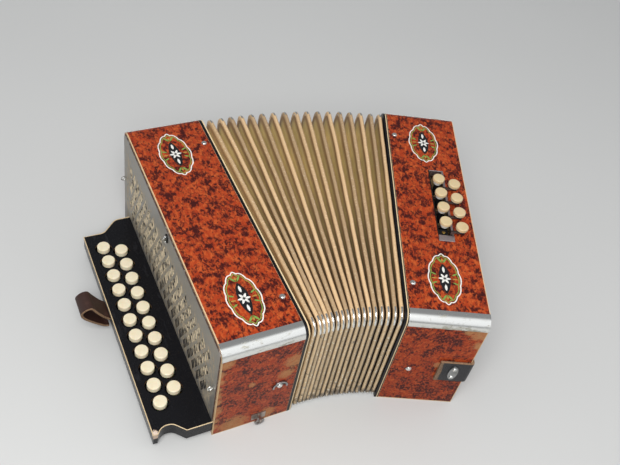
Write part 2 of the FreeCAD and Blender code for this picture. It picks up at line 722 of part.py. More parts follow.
def build_fingerboard():
    owner = body("fingerboard")
    outer = minus(END, "sizes.board_reach")
    hump_outer = (minus(END, "sizes.hump_outer"), "-sizes.hump_crest")
    hump_inner = (minus(END, "sizes.hump_inner"), "-sizes.hump_crest")
    upper_crest = (minus(END, "sizes.upper_crest"), "sizes.board_upper_root")
    upper_turn = (minus(END, "sizes.upper_turn"), "sizes.board_upper")
    outline = [
        (outer, "-sizes.board_lower"), (minus(END, "sizes.hump_foot"), "-sizes.board_lower"),
        hump_outer, hump_inner, (minus(END, "sizes.hump_dip"), "-sizes.board_lower_root"),
        (END, "-sizes.board_lower_root"), (END, "sizes.board_upper_root"),
        upper_crest, upper_turn, (outer, "sizes.board_upper")]
    pad(owner, polygon(owner, "XY_Plane", "sizes.wall", outline),
        minus("sizes.board_top", "sizes.wall"))
    bends = [(value(across), value(up)) for across, up in (hump_outer, hump_inner, upper_crest,
                                                         upper_turn)]
    round_edges(owner, lambda edge: lies_along(edge, Vector(0, 0, 1)) and any(
        abs(edge.CenterOfMass.x - x) < 1e-3 and abs(edge.CenterOfMass.y - y) < 1e-3
        for x, y in bends), "sizes.ogee_radius")
    hollow = rectangle(owner, "XY_Plane", "sizes.wall",
                       (total(outer, "sizes.board_rim"),
                        minus("sizes.board_rim", "sizes.hump_crest")),
                       (END, minus("sizes.board_upper", "sizes.board_rim")))
    pocket(owner, hollow, minus("sizes.board_top", "sizes.wall", "sizes.board_skin"),
           backwards=True)
    for row, first, count in (("sizes.outer_row", "sizes.first_key", "sizes.outer_keys"),
                              ("sizes.inner_row", INNER_FIRST, "sizes.outer_keys - 1")):
        hole = pocket(owner, circles(owner, "XY_Plane", "sizes.board_top",
                                     [(minus(END, row), first)], "sizes.button_hole"),
                      "sizes.board_skin")
        repeat(owner, hole, "Y_Axis", True, "sizes.key_pitch * (%s - 1)" % count, count)
        doc.recompute()
    node(owner, "fingerboard")
    build_fingerboard_base(outer)


def build_fingerboard_base(outer):
    """Plate under the levers, fitted in the rim, with a tongue lying on the casing's back wall."""
    rim = total("sizes.board_rim", "sizes.fit")
    plate = box("base_plate",
                (total(outer, rim), minus(rim, "sizes.hump_crest"), "sizes.wall"),
                (minus("sizes.board_reach", rim),
                 minus("sizes.board_upper + sizes.hump_crest", rim, rim), "sizes.base_thickness"))
    tongue = box("base_tongue",
                 (END, minus(rim, "sizes.hump_crest"), "sizes.wall"),
                 ("sizes.base_tongue",
                  minus("sizes.board_upper + sizes.hump_crest", rim, rim),
                  "sizes.base_thickness"))
    node(fuse("fingerboard_base", [plate, tongue]), "fingerboard_base")


# ---------------------------------------------------------------- treble keys

def lever(name, profile, breadth):
    """Lever cut from sheet, centred on Y = 0, from its side profile."""
    owner = body(name)
    pad(owner, polygon(owner, "XZ_Plane", "-(%s) / 2" % breadth, profile), breadth)
    return owner


def axle_slot(across, axle, mouth):
    """Profile points of a slot, open at the level of the mouth, that clips over the axle."""
    half = "(sizes.axle_radius + sizes.axle_clearance)"
    end = total(axle, half) if value(mouth) < value(axle) else minus(axle, half)
    left = minus(across, half)
    right = total(across, half)
    points = [(left, mouth), (left, end), (right, end), (right, mouth)]
    return points if value(mouth) < value(axle) else points[::-1]


def treble_lever(name, row, pallet_height):
    """Button arm, swelling round the axle, and the upright that carries the pallet."""
    axle = total(END, "sizes.axle_inside")
    outer = minus(END, row, "sizes.stem_side / 2")
    inner = total(END, minus("sizes.soundboard_inside", "sizes.seat_gap", "sizes.pallet_leather",
                             "sizes.pallet_wood"))
    low = "sizes.axle_height - sizes.lever_height / 2"
    high = "sizes.axle_height + sizes.lever_height / 2"
    boss_low = "sizes.axle_height - sizes.boss_radius"
    boss_high = "sizes.axle_height + sizes.boss_radius"
    taper = minus(axle, "sizes.boss_taper")
    shoulder = minus(axle, "sizes.boss_radius")
    post = minus(inner, "sizes.lever_height")
    tip = total(pallet_height, "sizes.upright_past")
    profile = [(outer, low), (taper, low), (shoulder, boss_low)]
    profile += axle_slot(axle, "sizes.axle_height", boss_low)
    profile += [(inner, boss_low), (inner, tip), (post, tip), (post, boss_high),
                (shoulder, boss_high), (taper, high), (outer, high)]
    return lever(name, profile, "sizes.lever_breadth")


def treble_key_pieces(name, row, pallet_height):
    """The separate solids of one key, drawn at Y = 0."""
    side = "sizes.stem_side"
    arm_top = "sizes.axle_height + sizes.lever_height / 2"
    shoulder = minus(total("sizes.board_top", "sizes.button_rise"), "sizes.button_body")
    stem = box(name + "_stem", (minus(END, row, side + " / 2"), "-sizes.stem_side / 2", arm_top),
               (side, side, minus(shoulder, arm_top)))
    facing = total(END, minus("sizes.soundboard_inside", "sizes.seat_gap", "sizes.pallet_leather"))
    low = minus(pallet_height, "sizes.pallet_length / 2")
    wood = box(name + "_pallet",
               (minus(facing, "sizes.pallet_wood"), "-sizes.pallet_breadth / 2", low),
               ("sizes.pallet_wood", "sizes.pallet_breadth", "sizes.pallet_length"))
    leather = box(name + "_leather", (facing, "-sizes.pallet_breadth / 2", low),
                  ("sizes.pallet_leather", "sizes.pallet_breadth", "sizes.pallet_length"))
    button = rod(name + "_button", (minus(END, row), "0", shoulder), "z", "sizes.button_radius",
                 "sizes.button_body")
    return [treble_lever(name + "_lever", row, pallet_height), stem, button, wood, leather]


def build_treble_keys():
    rows = [treble_key_pieces("outer_key", "sizes.outer_row", OUTER_PALLETS),
            treble_key_pieces("inner_key", "sizes.inner_row", INNER_PALLETS)]
    for lane in range(treble_lanes()):
        key = group("treble_key_%02d" % (lane + 1), rows[lane % 2])
        bind(key, {"Placement.Base.y": lane_height(lane)})
        node(key, "treble_key_%02d" % (lane + 1))


def treble_lanes():
    return 2 * int(value("sizes.outer_keys")) - 1


def lane_height(lane):
    """Levers of the outer and the inner row alternate down the fingerboard."""
    return "%s - sizes.key_pitch * %d" % (INNER_FIRST if lane % 2 else "sizes.first_key", lane // 2)


def build_treble_axle():
    lanes = treble_lanes()
    across = total(END, "sizes.axle_inside")
    low = minus(lane_height(lanes - 1), "sizes.axle_margin")
    span = total(minus(lane_height(0), lane_height(lanes - 1)), "sizes.axle_margin * 2")
    axle = rod("treble_axle", (across, low, "sizes.axle_height"), "y", "sizes.axle_radius", span)
    parts = [axle]
    floor = "sizes.wall + sizes.base_thickness"
    places = [total(low, "sizes.post_breadth"), total(low, span),
              minus(lane_height(lanes // 2), "(sizes.row_offset - sizes.post_breadth) / 2")]
    for number, place in enumerate(places):
        parts.append(saddle("axle_post_%d" % number, across, "sizes.axle_height", floor,
                            "sizes.boss_radius", place))
    node(group("treble_key_axle", parts), "treble_key_axle")


def saddle(name, across, axle, floor, reach, place):
    """Post with an open slot that the axle lies in."""
    owner = body(name)
    top = total(axle, reach)
    left = minus(across, reach)
    right = total(across, reach)
    profile = [(left, floor), (right, floor), (right, top)]
    profile += axle_slot(across, axle, top)
    profile.append((left, top))
    pad(owner, polygon(owner, "XZ_Plane", "-(%s)" % place, profile), "sizes.post_breadth")
    return owner


def build_treble_springs():
    """Leaf springs on the base plate, their free ends just under the pressed levers."""
    springs = []
    start = minus(END, "sizes.spring_length - sizes.spring_inside")
    floor = "sizes.wall + sizes.base_thickness"
    for lane in range(treble_lanes()):
        low = minus(lane_height(lane), "sizes.spring_breadth / 2")
        springs.append(box("spring_%02d" % lane, (start, low, floor),
                           ("sizes.spring_length", "sizes.spring_breadth", "sizes.spring_skin")))
    node(group("treble_key_springs", springs), "treble_key_springs")


# ---------------------------------------------------------------- treble soundboard and reeds

def build_treble_soundboard():
    owner = body("treble_soundboard")
    face = total(END, "sizes.soundboard_inside")
    edge = total("sizes.wall", "sizes.fit")
    outline = rectangle(owner, "YZ_Plane", face, (total("-" + HALF, edge), edge),
                        (minus(HALF, edge), minus(FRONT, edge)))
    pad(owner, outline, "sizes.soundboard_thickness")
    for height, first, count in (
            (OUTER_PALLETS, "sizes.first_key", "sizes.outer_keys"),
            (INNER_PALLETS, INNER_FIRST, "sizes.outer_keys - 1")):
        hole = rectangle(owner, "YZ_Plane", face,
                         (minus(first, "sizes.hole_breadth / 2"),
                          minus(height, "sizes.hole_length / 2")),
                         (total(first, "sizes.hole_breadth / 2"),
                          total(height, "sizes.hole_length / 2")))
        cutter = pocket(owner, hole, "sizes.soundboard_thickness", backwards=True)
        repeat(owner, cutter, "Y_Axis", True, "sizes.key_pitch * (%s - 1)" % count, count)
        doc.recompute()
    node(owner, "treble_soundboard")


def build_treble_reeds():
    """Two tapered blocks that carry the reeds behind the tone holes."""
    foot = total(END, "sizes.soundboard_inside", "sizes.soundboard_thickness")
    blocks = []
    for row, (height, first, count) in enumerate((
            (OUTER_PALLETS, "sizes.first_key", "sizes.outer_keys"),
            (INNER_PALLETS, INNER_FIRST, "sizes.outer_keys - 1"))):
        owner = body("treble_reed_block_%d" % row)
        top = total(first, "sizes.key_pitch / 2")
        length = "sizes.key_pitch * (%s)" % count
        far = total(foot, "sizes.reed_block_height")
        outline = [(foot, minus(height, "sizes.reed_block_base / 2")),
                   (far, minus(height, "sizes.reed_block_top / 2")),
                   (far, total(height, "sizes.reed_block_top / 2")),
                   (foot, total(height, "sizes.reed_block_base / 2"))]
        pad(owner, polygon(owner, "XZ_Plane", "-(" + top + ")", outline), length)
        blocks.append(owner)
    node(group("treble_reed_blocks", blocks), "treble_reed_blocks")


# ---------------------------------------------------------------- grille

def lattice_slots():
    """Slanted slots in pairs on a diagonal lattice, the pairs leaning alternately each way."""
    pitch = value("sizes.lattice_pitch")
    length = value("sizes.slot_length")
    breadth = value("sizes.slot_breadth")
    spacing = value("sizes.slot_pair")
    low = value("sizes.board_top") + length / 2
    high = value(minus(FRONT, "sizes.lattice_drop")) - length / 2
    reach = value(HALF) - value("sizes.lattice_margin") - length / 2
    step = pitch / math.sqrt(2)
    rows = int((high - low) / step) + 1
    start = (low + high - (rows - 1) * step) / 2
    slots = []
    for row in range(rows):
        columns = int(reach / (2 * step))
        offset = step if row % 2 else 0
        for column in range(-columns - 1, columns + 2):
            across = column * 2 * step + offset
            if abs(across) > reach:
                continue
            for side in (-0.5, 0.5):
                slots.append((across, start + row * step, side * spacing))
    return slots, length, breadth


def build_grille():
    """Sheet over the action, standing on the fingerboard, pierced by the lattice."""
    border = "sizes.grille_border"
    sheet = body("grille_sheet")
    low = total("sizes.board_top", "sizes.fit")
    step = total("sizes.board_upper_root", "sizes.fit")
    upper = minus(HALF, border)
    top = minus(FRONT, border)
    outline = polygon(sheet, "YZ_Plane", minus(END, "sizes.grille_skin"),
                      [("-(%s)" % upper, low), (step, low), (step, border), (upper, border),
                       (upper, top), ("-(%s)" % upper, top)])
    pad(sheet, outline, "sizes.grille_skin")
    front = value(minus(FRONT, border))
    round_edges(sheet, lambda edge: lies_along(edge, Vector(1, 0, 0))
                and edge.CenterOfMass.z > front - 1e-3, "sizes.corner_radius - sizes.grille_border")
    slots, length, breadth = lattice_slots()
    skin = value("sizes.grille_skin")
    face = value(END) - 2 * skin
    lean = Rotation(Vector(1, 0, 0), 45)
    cutters = []
    for across, height, shift in slots:
        cutter = Part.makeBox(3 * skin, length, breadth, Vector(0, -length / 2, shift - breadth / 2))
        cutter.Placement = Placement(Vector(face, across, height), lean)
        cutters.append(cutter)
    doc.recompute()
    tool = shaped("lattice", Part.makeCompound(cutters))
    node(cut("treble_grille", sheet, tool), "treble_grille")
    build_grille_fixings()


def build_grille_fixings():
    """Two ring screws at the grille's ends and a turn hook at the middle of its front edge."""
    skin = "sizes.grille_skin"
    parts = []
    for sign in ("", "-"):
        middle = sign + "(" + minus(HALF, "sizes.ring_inset") + ")"
        loop = ring("screw_ring", (minus(END, skin, "sizes.ring_radius + sizes.ring_wire"), middle,
                                   "sizes.ring_height"), "y", "sizes.ring_radius",
                    "sizes.ring_wire")
        parts.append(loop)
    face = minus(END, skin, "sizes.hook_skin")
    plate = box("hook_plate",
                (face, "-sizes.hook_plate_breadth / 2", minus(FRONT, "sizes.hook_plate_drop")),
                ("sizes.hook_skin", "sizes.hook_plate_breadth", "sizes.hook_plate_height"))
    side = "sizes.hook_tongue"
    tongue = box("hook_tongue",
                 (minus(face, side), "-%s / 2" % side, minus(FRONT, "sizes.hook_tongue_drop")),
                 (side, side, "sizes.hook_tongue_height"))
    parts += [plate, tongue]
    node(group("grille_fixings", parts), "grille_fixings")


# ---------------------------------------------------------------- thumb strap

def build_thumb_strap():
    """Leather loop standing off the fingerboard's outer edge, bent to a drop shape."""
    skin = value("sizes.strap_skin")
    gap = value("sizes.seat_gap")
    edge = value(minus(END, "sizes.board_reach")) - gap
    bend = Vector(edge - value("sizes.thumb_loop_out"), 0, value("sizes.thumb_loop_up"))
    radius = value("sizes.thumb_loop_radius")
    low = value("sizes.wall") + value("sizes.thumb_foot_low")
    root_out = Vector(edge - value("sizes.thumb_foot"), 0, low + value("sizes.thumb_outer_root"))
    root_in = Vector(edge, 0, value("sizes.board_top") - value("sizes.thumb_inner_drop"))
    outside = drop(bend, radius, root_out, root_in, edge, low)
    hole = drop_hole(bend, radius - skin,
                     root_out + Vector(0, 0, value("sizes.thumb_hole_rise")),
                     root_in - Vector(value("sizes.thumb_hole_in"), 0,
                                      value("sizes.thumb_hole_drop")))
    breadth = value("sizes.thumb_breadth")
    across = Vector(0, breadth, 0)
    solid = Part.Face(outside).extrude(across).cut(Part.Face(hole).extrude(across))
    item = shaped("thumb_strap", solid)
    item.Placement = Placement(Vector(0, value("sizes.thumb_centre") - breadth / 2, 0), Rotation())
    node(item, "thumb_strap")


def tangent_point(centre, radius, point, side):
    """Where a line from a point touches a circle in the XZ plane, on the side asked for."""
    run = point - centre
    reach = run.Length
    lean = math.acos(radius / reach) * side
    direction = math.atan2(run.z, run.x) + lean
    return centre + Vector(math.cos(direction), 0, math.sin(direction)) * radius


def drop(centre, radius, root_out, root_in, edge, low):
    """Outer outline of the loop: a foot on the fingerboard's edge, two legs and a round bend."""
    leave = tangent_point(centre, radius, root_in, 1)
    arrive = tangent_point(centre, radius, root_out, -1)
    far = centre + (centre - (root_in + root_out) * 0.5).normalize() * radius
    edges = [Part.LineSegment(root_in, leave).toShape(), Part.Arc(leave, far, arrive).toShape(),
             Part.LineSegment(arrive, root_out).toShape(),
             Part.LineSegment(root_out, Vector(root_out.x, 0, low)).toShape(),
             Part.LineSegment(Vector(root_out.x, 0, low), Vector(edge, 0, low)).toShape(),
             Part.LineSegment(Vector(edge, 0, low), root_in).toShape()]
    return Part.Wire(edges)


def drop_hole(centre, radius, near_out, near_in):
    leave = tangent_point(centre, radius, near_in, 1)
    arrive = tangent_point(centre, radius, near_out, -1)
    far = centre + (centre - (near_in + near_out) * 0.5).normalize() * radius
    edges = [Part.LineSegment(near_in, leave).toShape(), Part.Arc(leave, far, arrive).toShape(),
             Part.LineSegment(arrive, near_out).toShape(),
             Part.LineSegment(near_out, near_in).toShape()]
    return Part.Wire(edges)


# ---------------------------------------------------------------- strap ring

def build_strap_ring():
    """Plate with a lug on the treble casing's lower face, and the ring that hangs in it."""
    across = minus(MOUTH, "sizes.bracket_inside")
    lower = "-" + HALF
    half = "sizes.bracket_plate / 2"
    plate = box("bracket_plate",
                (minus(across, half), minus(lower, "sizes.bracket_skin"),
                 minus("sizes.bracket_height", "sizes.bracket_plate_height / 2")),
                ("sizes.bracket_plate", "sizes.bracket_skin", "sizes.bracket_plate_height"))
    lug = box("bracket_lug",
              (minus(across, "sizes.lug_skin / 2"), minus(lower, "sizes.lug_reach"),
               minus("sizes.bracket_height", "sizes.lug_height / 2")),
              ("sizes.lug_skin", minus("sizes.lug_reach", "sizes.bracket_skin"),
               "sizes.lug_height"))
    pin = minus(lower, "sizes.lug_bore_out")
    bore = rod("lug_bore", (minus(across, "sizes.lug_skin"), pin, "sizes.bracket_height"), "x",
               "sizes.ring_wire + sizes.lug_clearance", "sizes.lug_skin * 2")
    node(fuse("strap_ring_bracket", [plate, cut("lug", lug, bore)]), "strap_ring_bracket")
    middle = (across, pin, "sizes.bracket_height - sizes.ring_radius")
    node(ring("strap_ring", middle, "y", "sizes.ring_radius", "sizes.ring_wire"), "strap_ring")


# ---------------------------------------------------------------- bass end

def inside(*terms):
    """A distance from the bass casing's bellows edge, in the bass frame."""
    return total(CASE, *terms)


def bass_lever(name, pallet, beyond):
    """Lever with a boss at the axle and a rod down to the pallet; beyond is its outer end."""
    middle = minus(FRONT, "sizes.bass_axle_drop")
    axle = inside("sizes.bass_axle_inside")
    low = minus(middle, "sizes.bass_lever_height / 2")
    high = total(middle, "sizes.bass_lever_height / 2")
    boss_low = minus(middle, "sizes.bass_boss_radius")
    boss_high = total(middle, "sizes.bass_boss_radius")
    back = minus(axle, "sizes.bass_boss_radius")
    shoulder = total(axle, "sizes.bass_boss_radius")
    taper = total(axle, "sizes.bass_boss_taper")
    rod_low = minus(FRONT, "sizes.bass_board_drop", "sizes.bass_board_skin", "sizes.seat_gap")
    rod_left = inside(pallet, "-sizes.rod_side / 2")
    rod_right = inside(pallet, "sizes.rod_side / 2")
    profile = [(back, boss_low)] + axle_slot(axle, middle, boss_low)
    profile += [(shoulder, boss_low), (taper, low), (rod_left, low), (rod_left, rod_low),
                (rod_right, rod_low), (rod_right, low)]
    profile += beyond(low, high)
    profile += [(taper, high), (shoulder, boss_high), (back, boss_high)]
    return lever(name, profile, "sizes.bass_lever_breadth")


def bass_pallet(name, pallet):
    """Wood with a leather face, held up against the underside of the soundboard."""
    half = "sizes.bass_pallet_side / 2"
    top = minus(FRONT, "sizes.bass_board_drop", "sizes.bass_board_skin", "sizes.seat_gap")
    corner = (inside(pallet, "-" + half), "-" + half)
    leather = box(name + "_leather", corner + (minus(top, "sizes.pallet_leather"),),
                  ("sizes.bass_pallet_side", "sizes.bass_pallet_side", "sizes.pallet_leather"))
    wood = box(name + "_wood",
               corner + (minus(top, "sizes.pallet_leather", "sizes.bass_pallet_wood"),),
               ("sizes.bass_pallet_side", "sizes.bass_pallet_side", "sizes.bass_pallet_wood"))
    return [leather, wood]


def bass_cap(name, column, aside):
    """Mushroom button with a bevelled rim."""
    owner = body(name)
    top = total(FRONT, "sizes.bass_button_rise")
    pad(owner, circles(owner, "XY_Plane", minus(top, "sizes.bass_button_body"),
                       [(inside(column), aside)], "sizes.bass_button_radius"),
        "sizes.bass_button_body")
    level = value(top)
    round_edges(owner, lambda edge: edge.Closed and edge.CenterOfMass.z > level - 1e-3,
                "sizes.bass_button_bevel", "Chamfer")
    return owner


def left_key_pieces():
    """Button on a stem that rises straight out of the slot."""
    under = total(FRONT, minus("sizes.bass_button_rise", "sizes.bass_button_body"))
    arm_top = minus(FRONT, "sizes.bass_axle_drop", "-sizes.bass_lever_height / 2")
    side = "sizes.stem_side"
    stem = box("left_stem", (inside("sizes.left_column", "-%s / 2" % side), "-%s / 2" % side,
                             arm_top), (side, side, minus(under, arm_top)))
    end = inside("sizes.left_column", side + " / 2")
    arm = bass_lever("left_lever", "sizes.left_pallet", lambda low, high: [(end, low), (end, high)])
    return [arm, stem, bass_cap("left_cap", "sizes.left_column", "0")] + bass_pallet(
        "left_pallet", "sizes.left_pallet")


def right_key_pieces():
    """Button on a crank that comes out of the slot and reaches over the casing's front.

    The lever runs midway between two left buttons, and its own button sits a little aside of it.
    """
    under = total(FRONT, minus("sizes.bass_button_rise", "sizes.bass_button_body"))
    crank_low = total(FRONT, "sizes.crank_rise")
    crank_high = total(crank_low, "sizes.crank_skin")
    near = inside("sizes.riser_inside")
    far = inside("sizes.riser_inside", "sizes.riser_side")
    end = inside("sizes.right_column", "sizes.stem_side / 2")
    rod_right = inside("sizes.right_pallet", "sizes.rod_side / 2")
    arm = bass_lever("right_lever", "sizes.right_pallet", lambda low, high: [
        (rod_right, high), (far, high), (far, crank_low), (end, crank_low), (end, crank_high),
        (near, crank_high), (near, high)])
    aside = minus("sizes.right_first", RIGHT_LANE)
    near_side = "-sizes.bass_lever_breadth / 2"
    neck = box("right_neck", (inside("sizes.right_column", "-sizes.stem_side / 2"), near_side,
                              crank_high),
               ("sizes.stem_side", total(aside, "sizes.stem_side / 2 - " + near_side),
                minus(under, crank_high)))
    return [arm, neck, bass_cap("right_cap", "sizes.right_column", aside)] + bass_pallet(
        "right_pallet", "sizes.right_pallet")


def build_bass_keys():
    """Eight keys, numbered down the left column and then down the right one."""
    columns = [(left_key_pieces(), "sizes.left_first"), (right_key_pieces(), RIGHT_LANE)]
    number = 0
    for pieces, first in columns:
        for place in range(int(value("sizes.bass_keys"))):
            number += 1
            name = "bass_key_%d" % number
            key = group(name, pieces)
            bass_node(key, name)
            along = "(%s - sizes.bass_pitch * %d)" % (first, place)
            bind(key, {
                "Placement.Base.x": total(MOUTH, CASE, "(%s + %s) * sin%s"
                                          % (BASS_RADIUS, along, FAN)),
                "Placement.Base.y": minus("(%s + %s) * cos%s" % (BASS_RADIUS, along, FAN),
                                          "sizes.fan_reach"),
            })


def build_bass_channel():
    """Sheet metal lining of the key slot, with the end block, its screw and the sloping lip."""
    skin = "sizes.channel_skin"
    left = inside("sizes.slot_inside", "sizes.fit")
    right = inside("sizes.slot_inside", "sizes.slot_width", "-sizes.fit")
    bottom = minus("sizes.fit", "sizes.slot_bottom")
    length = minus("sizes.slot_top + sizes.slot_bottom", "sizes.fit * 2")
    low = minus(FRONT, "sizes.wall")
    tall = total("sizes.wall", "sizes.channel_rise")
    walls = [box("channel_left", (left, bottom, low), (skin, length, tall)),
             box("channel_right", (minus(right, skin), bottom, low), (skin, length, tall)),
             box("channel_top", (left, minus("sizes.slot_top", "sizes.fit", skin), low),
                 ("sizes.slot_width - sizes.fit * 2", skin, tall))]
    lip = body("channel_lip")
    lip_end = total(bottom, "sizes.channel_lip")
    crest = total(FRONT, "sizes.channel_crest")
    outline = [(bottom, low), (lip_end, low), (lip_end, crest), (minus(lip_end, skin), crest),
               (bottom, total(FRONT, "sizes.channel_rise"))]
    pad(lip, polygon(lip, "YZ_Plane", left, outline), "sizes.slot_width - sizes.fit * 2")
    block = box("channel_block", (total(left, skin), lip_end, low),
                ("sizes.riser_inside - sizes.slot_inside - sizes.riser_side",
                 "sizes.channel_block", total("sizes.wall", "sizes.channel_block_rise")))
    bass_node(group("bass_key_channel", [fuse("channel_lining", walls + [lip]), block]),
              "bass_key_channel")


def build_bass_axle():
    span = total("sizes.bass_pitch * (sizes.bass_keys - 0.5)", "sizes.axle_margin * 2")
    low = minus("sizes.left_first", "sizes.bass_pitch * (sizes.bass_keys - 0.5)",
                "sizes.axle_margin")
    middle = minus(FRONT, "sizes.bass_axle_drop")
    across = inside("sizes.bass_axle_inside")
    parts = [rod("bass_axle", (across, low, middle), "y", "sizes.axle_radius", span)]
    board = minus(FRONT, "sizes.bass_board_drop")
    for number, place in enumerate((total(low, "sizes.post_breadth"), total(low, span))):
        parts.append(saddle("bass_post_%d" % number, across, middle, board,
                            "sizes.bass_boss_radius", place))
    bass_node(group("bass_key_axle", parts), "bass_key_axle")


def build_bass_boards():
    """Soundboard behind the front, and the inner end board with the air hole."""
    edge = total("sizes.wall", "sizes.fit")
    top = minus(FRONT, "sizes.bass_board_drop")
    board = body("bass_board")
    near = inside("sizes.fit")
    past_lip = inside("sizes.lip_depth", "sizes.fit")
    far = inside("sizes.inner_board_inside", "sizes.bass_board_skin")
    wide = minus(HALF, edge)
    narrow = minus(wide, "sizes.lip_breadth", "sizes.fit")
    outline = polygon(board, "XY_Plane", minus(top, "sizes.bass_board_skin"),
                      [(near, "-(%s)" % narrow), (past_lip, "-(%s)" % narrow),
                       (past_lip, "-(%s)" % wide), (far, "-(%s)" % wide), (far, wide),
                       (past_lip, wide), (past_lip, narrow), (near, narrow)])
    pad(board, outline, "sizes.bass_board_skin")
    for pallet, first in (("sizes.left_pallet", "sizes.left_first"),
                          ("sizes.right_pallet", RIGHT_LANE)):
        hole = rectangle(board, "XY_Plane", top,
                         (inside(pallet, "-sizes.bass_hole / 2"),
                          minus(first, "sizes.bass_hole / 2")),
                         (inside(pallet, "sizes.bass_hole / 2"),
                          total(first, "sizes.bass_hole / 2")))
        cutter = pocket(board, hole, "sizes.bass_board_skin")
        repeat(board, cutter, "Y_Axis", True, "sizes.bass_pitch * (sizes.bass_keys - 1)",
               "sizes.bass_keys")
        doc.recompute()
    inner = body("bass_inner_board")
    outline = rectangle(inner, "YZ_Plane", inside("sizes.inner_board_inside"),
                        (total("-" + HALF, edge), edge),
                        (minus(HALF, edge), minus(top, "sizes.bass_board_skin")))
    pad(inner, outline, "sizes.bass_board_skin")
    pocket(inner, circles(inner, "YZ_Plane", inside("sizes.inner_board_inside"),
                          [AIR], "sizes.air_hole_radius"),
           "sizes.bass_board_skin", backwards=True)
    bass_node(group("bass_soundboard", [board, inner]), "bass_soundboard")


def build_bass_reeds():
    """Block under the soundboard with a pocket for each pallet; it carries the bass reeds."""
    top = minus(FRONT, "sizes.bass_board_drop", "sizes.bass_board_skin")
    start = inside("sizes.left_pallet", "-sizes.bass_pallet_side / 2", "-sizes.bass_block_margin")
    end = inside("sizes.inner_board_inside")
    low = minus("sizes.left_first", "sizes.bass_pitch * sizes.bass_keys", "sizes.bass_block_end")
    high = total("sizes.left_first", "sizes.bass_pitch / 2", "sizes.bass_block_end")
    block = body("bass_block")
    pad(block, rectangle(block, "XY_Plane", top, (start, low), (end, high)),
        "sizes.bass_reed_block_height", backwards=True)
    for pallet, first in (("sizes.left_pallet", "sizes.left_first"),
                          ("sizes.right_pallet", RIGHT_LANE)):
        reach = "(sizes.bass_pallet_side / 2 + sizes.bass_pocket_gap)"
        hole = rectangle(block, "XY_Plane", top,
                         (inside(pallet, "-" + reach, "-sizes.bass_pocket_extra"), minus(first, reach)),
                         (inside(pallet, reach), total(first, reach)))
        cutter = pocket(block, hole, "sizes.bass_pocket_depth")
        repeat(block, cutter, "Y_Axis", True, "sizes.bass_pitch * (sizes.bass_keys - 1)",
               "sizes.bass_keys")
        doc.recompute()
    bass_node(block, "bass_reed_block")


def build_end_cover():
    """Wooden end with two rows of sound slots and the bush of the air button."""
    owner = body("bass_end_cover")
    edge = total("sizes.wall", "sizes.fit")
    face = inside("sizes.bass_width", "-sizes.end_cover_skin")
    pad(owner, rectangle(owner, "YZ_Plane", face, (total("-" + HALF, edge), edge),
                         (minus(HALF, edge), minus(FRONT, edge))), "sizes.end_cover_skin")
    half = "sizes.cover_slot_breadth / 2"
    for height in ("sizes.cover_slot_low", minus(FRONT, "sizes.cover_slot_drop")):
        slot = rectangle(owner, "YZ_Plane", face,
                         ("-sizes.cover_slot_reach", minus(height, half)),
                         ("sizes.cover_slot_length - sizes.cover_slot_reach", total(height, half)))
        cutter = pocket(owner, slot, "sizes.end_cover_skin", backwards=True)
        repeat(owner, cutter, "Y_Axis", False, "sizes.cover_slot_run", "sizes.cover_slots")
        doc.recompute()
    pocket(owner, circles(owner, "YZ_Plane", face, [AIR],
                          "sizes.air_rod_radius + sizes.seat_gap"), "sizes.end_cover_skin",
           backwards=True)
    bass_node(owner, "bass_end_cover")


def build_air_button():
    """Button, rod and pallet in one line; pushing it lifts the pallet off the inner board."""
    outside = inside("sizes.bass_width")
    seat = inside("sizes.inner_board_inside", "-sizes.seat_gap")
    pallet = rod("air_pallet", (minus(seat, "sizes.air_pallet_skin"),) + AIR, "x",
                 "sizes.air_pallet_radius", "sizes.air_pallet_skin")
    collar = total(outside, minus("sizes.air_button_length", "sizes.air_cap"))
    stalk = rod("air_rod", (seat,) + AIR, "x", "sizes.air_rod_radius", minus(collar, seat))
    cap = body("air_cap")
    pad(cap, circles(cap, "YZ_Plane", collar, [AIR], "sizes.air_button_radius"), "sizes.air_cap")
    far = value(total(outside, "sizes.air_button_length"))
    round_edges(cap, lambda edge: edge.Closed and edge.CenterOfMass.x > far - 1e-3,
                "sizes.bass_button_bevel", "Chamfer")
    bass_node(group("air_button", [pallet, stalk, cap]), "air_button")


def minor_arc(near, far, radius, sense):
    """The short arc between two points, and whether it runs counterclockwise from the first."""
    run = far - near
    side = Vector(run.y, -run.x, 0).normalize() * sense
    centre = (near + far) * 0.5 - side * math.sqrt(radius ** 2 - (run.Length / 2) ** 2)
    start = math.atan2(near.y - centre.y, near.x - centre.x)
    end = math.atan2(far.y - centre.y, far.x - centre.x)
    counterclockwise = (end - start) % (2 * math.pi) < math.pi
    if not counterclockwise:
        start, end = end, start
    return Part.ArcOfCircle(Part.Circle(centre, Vector(0, 0, 1), radius), start, end), counterclockwise


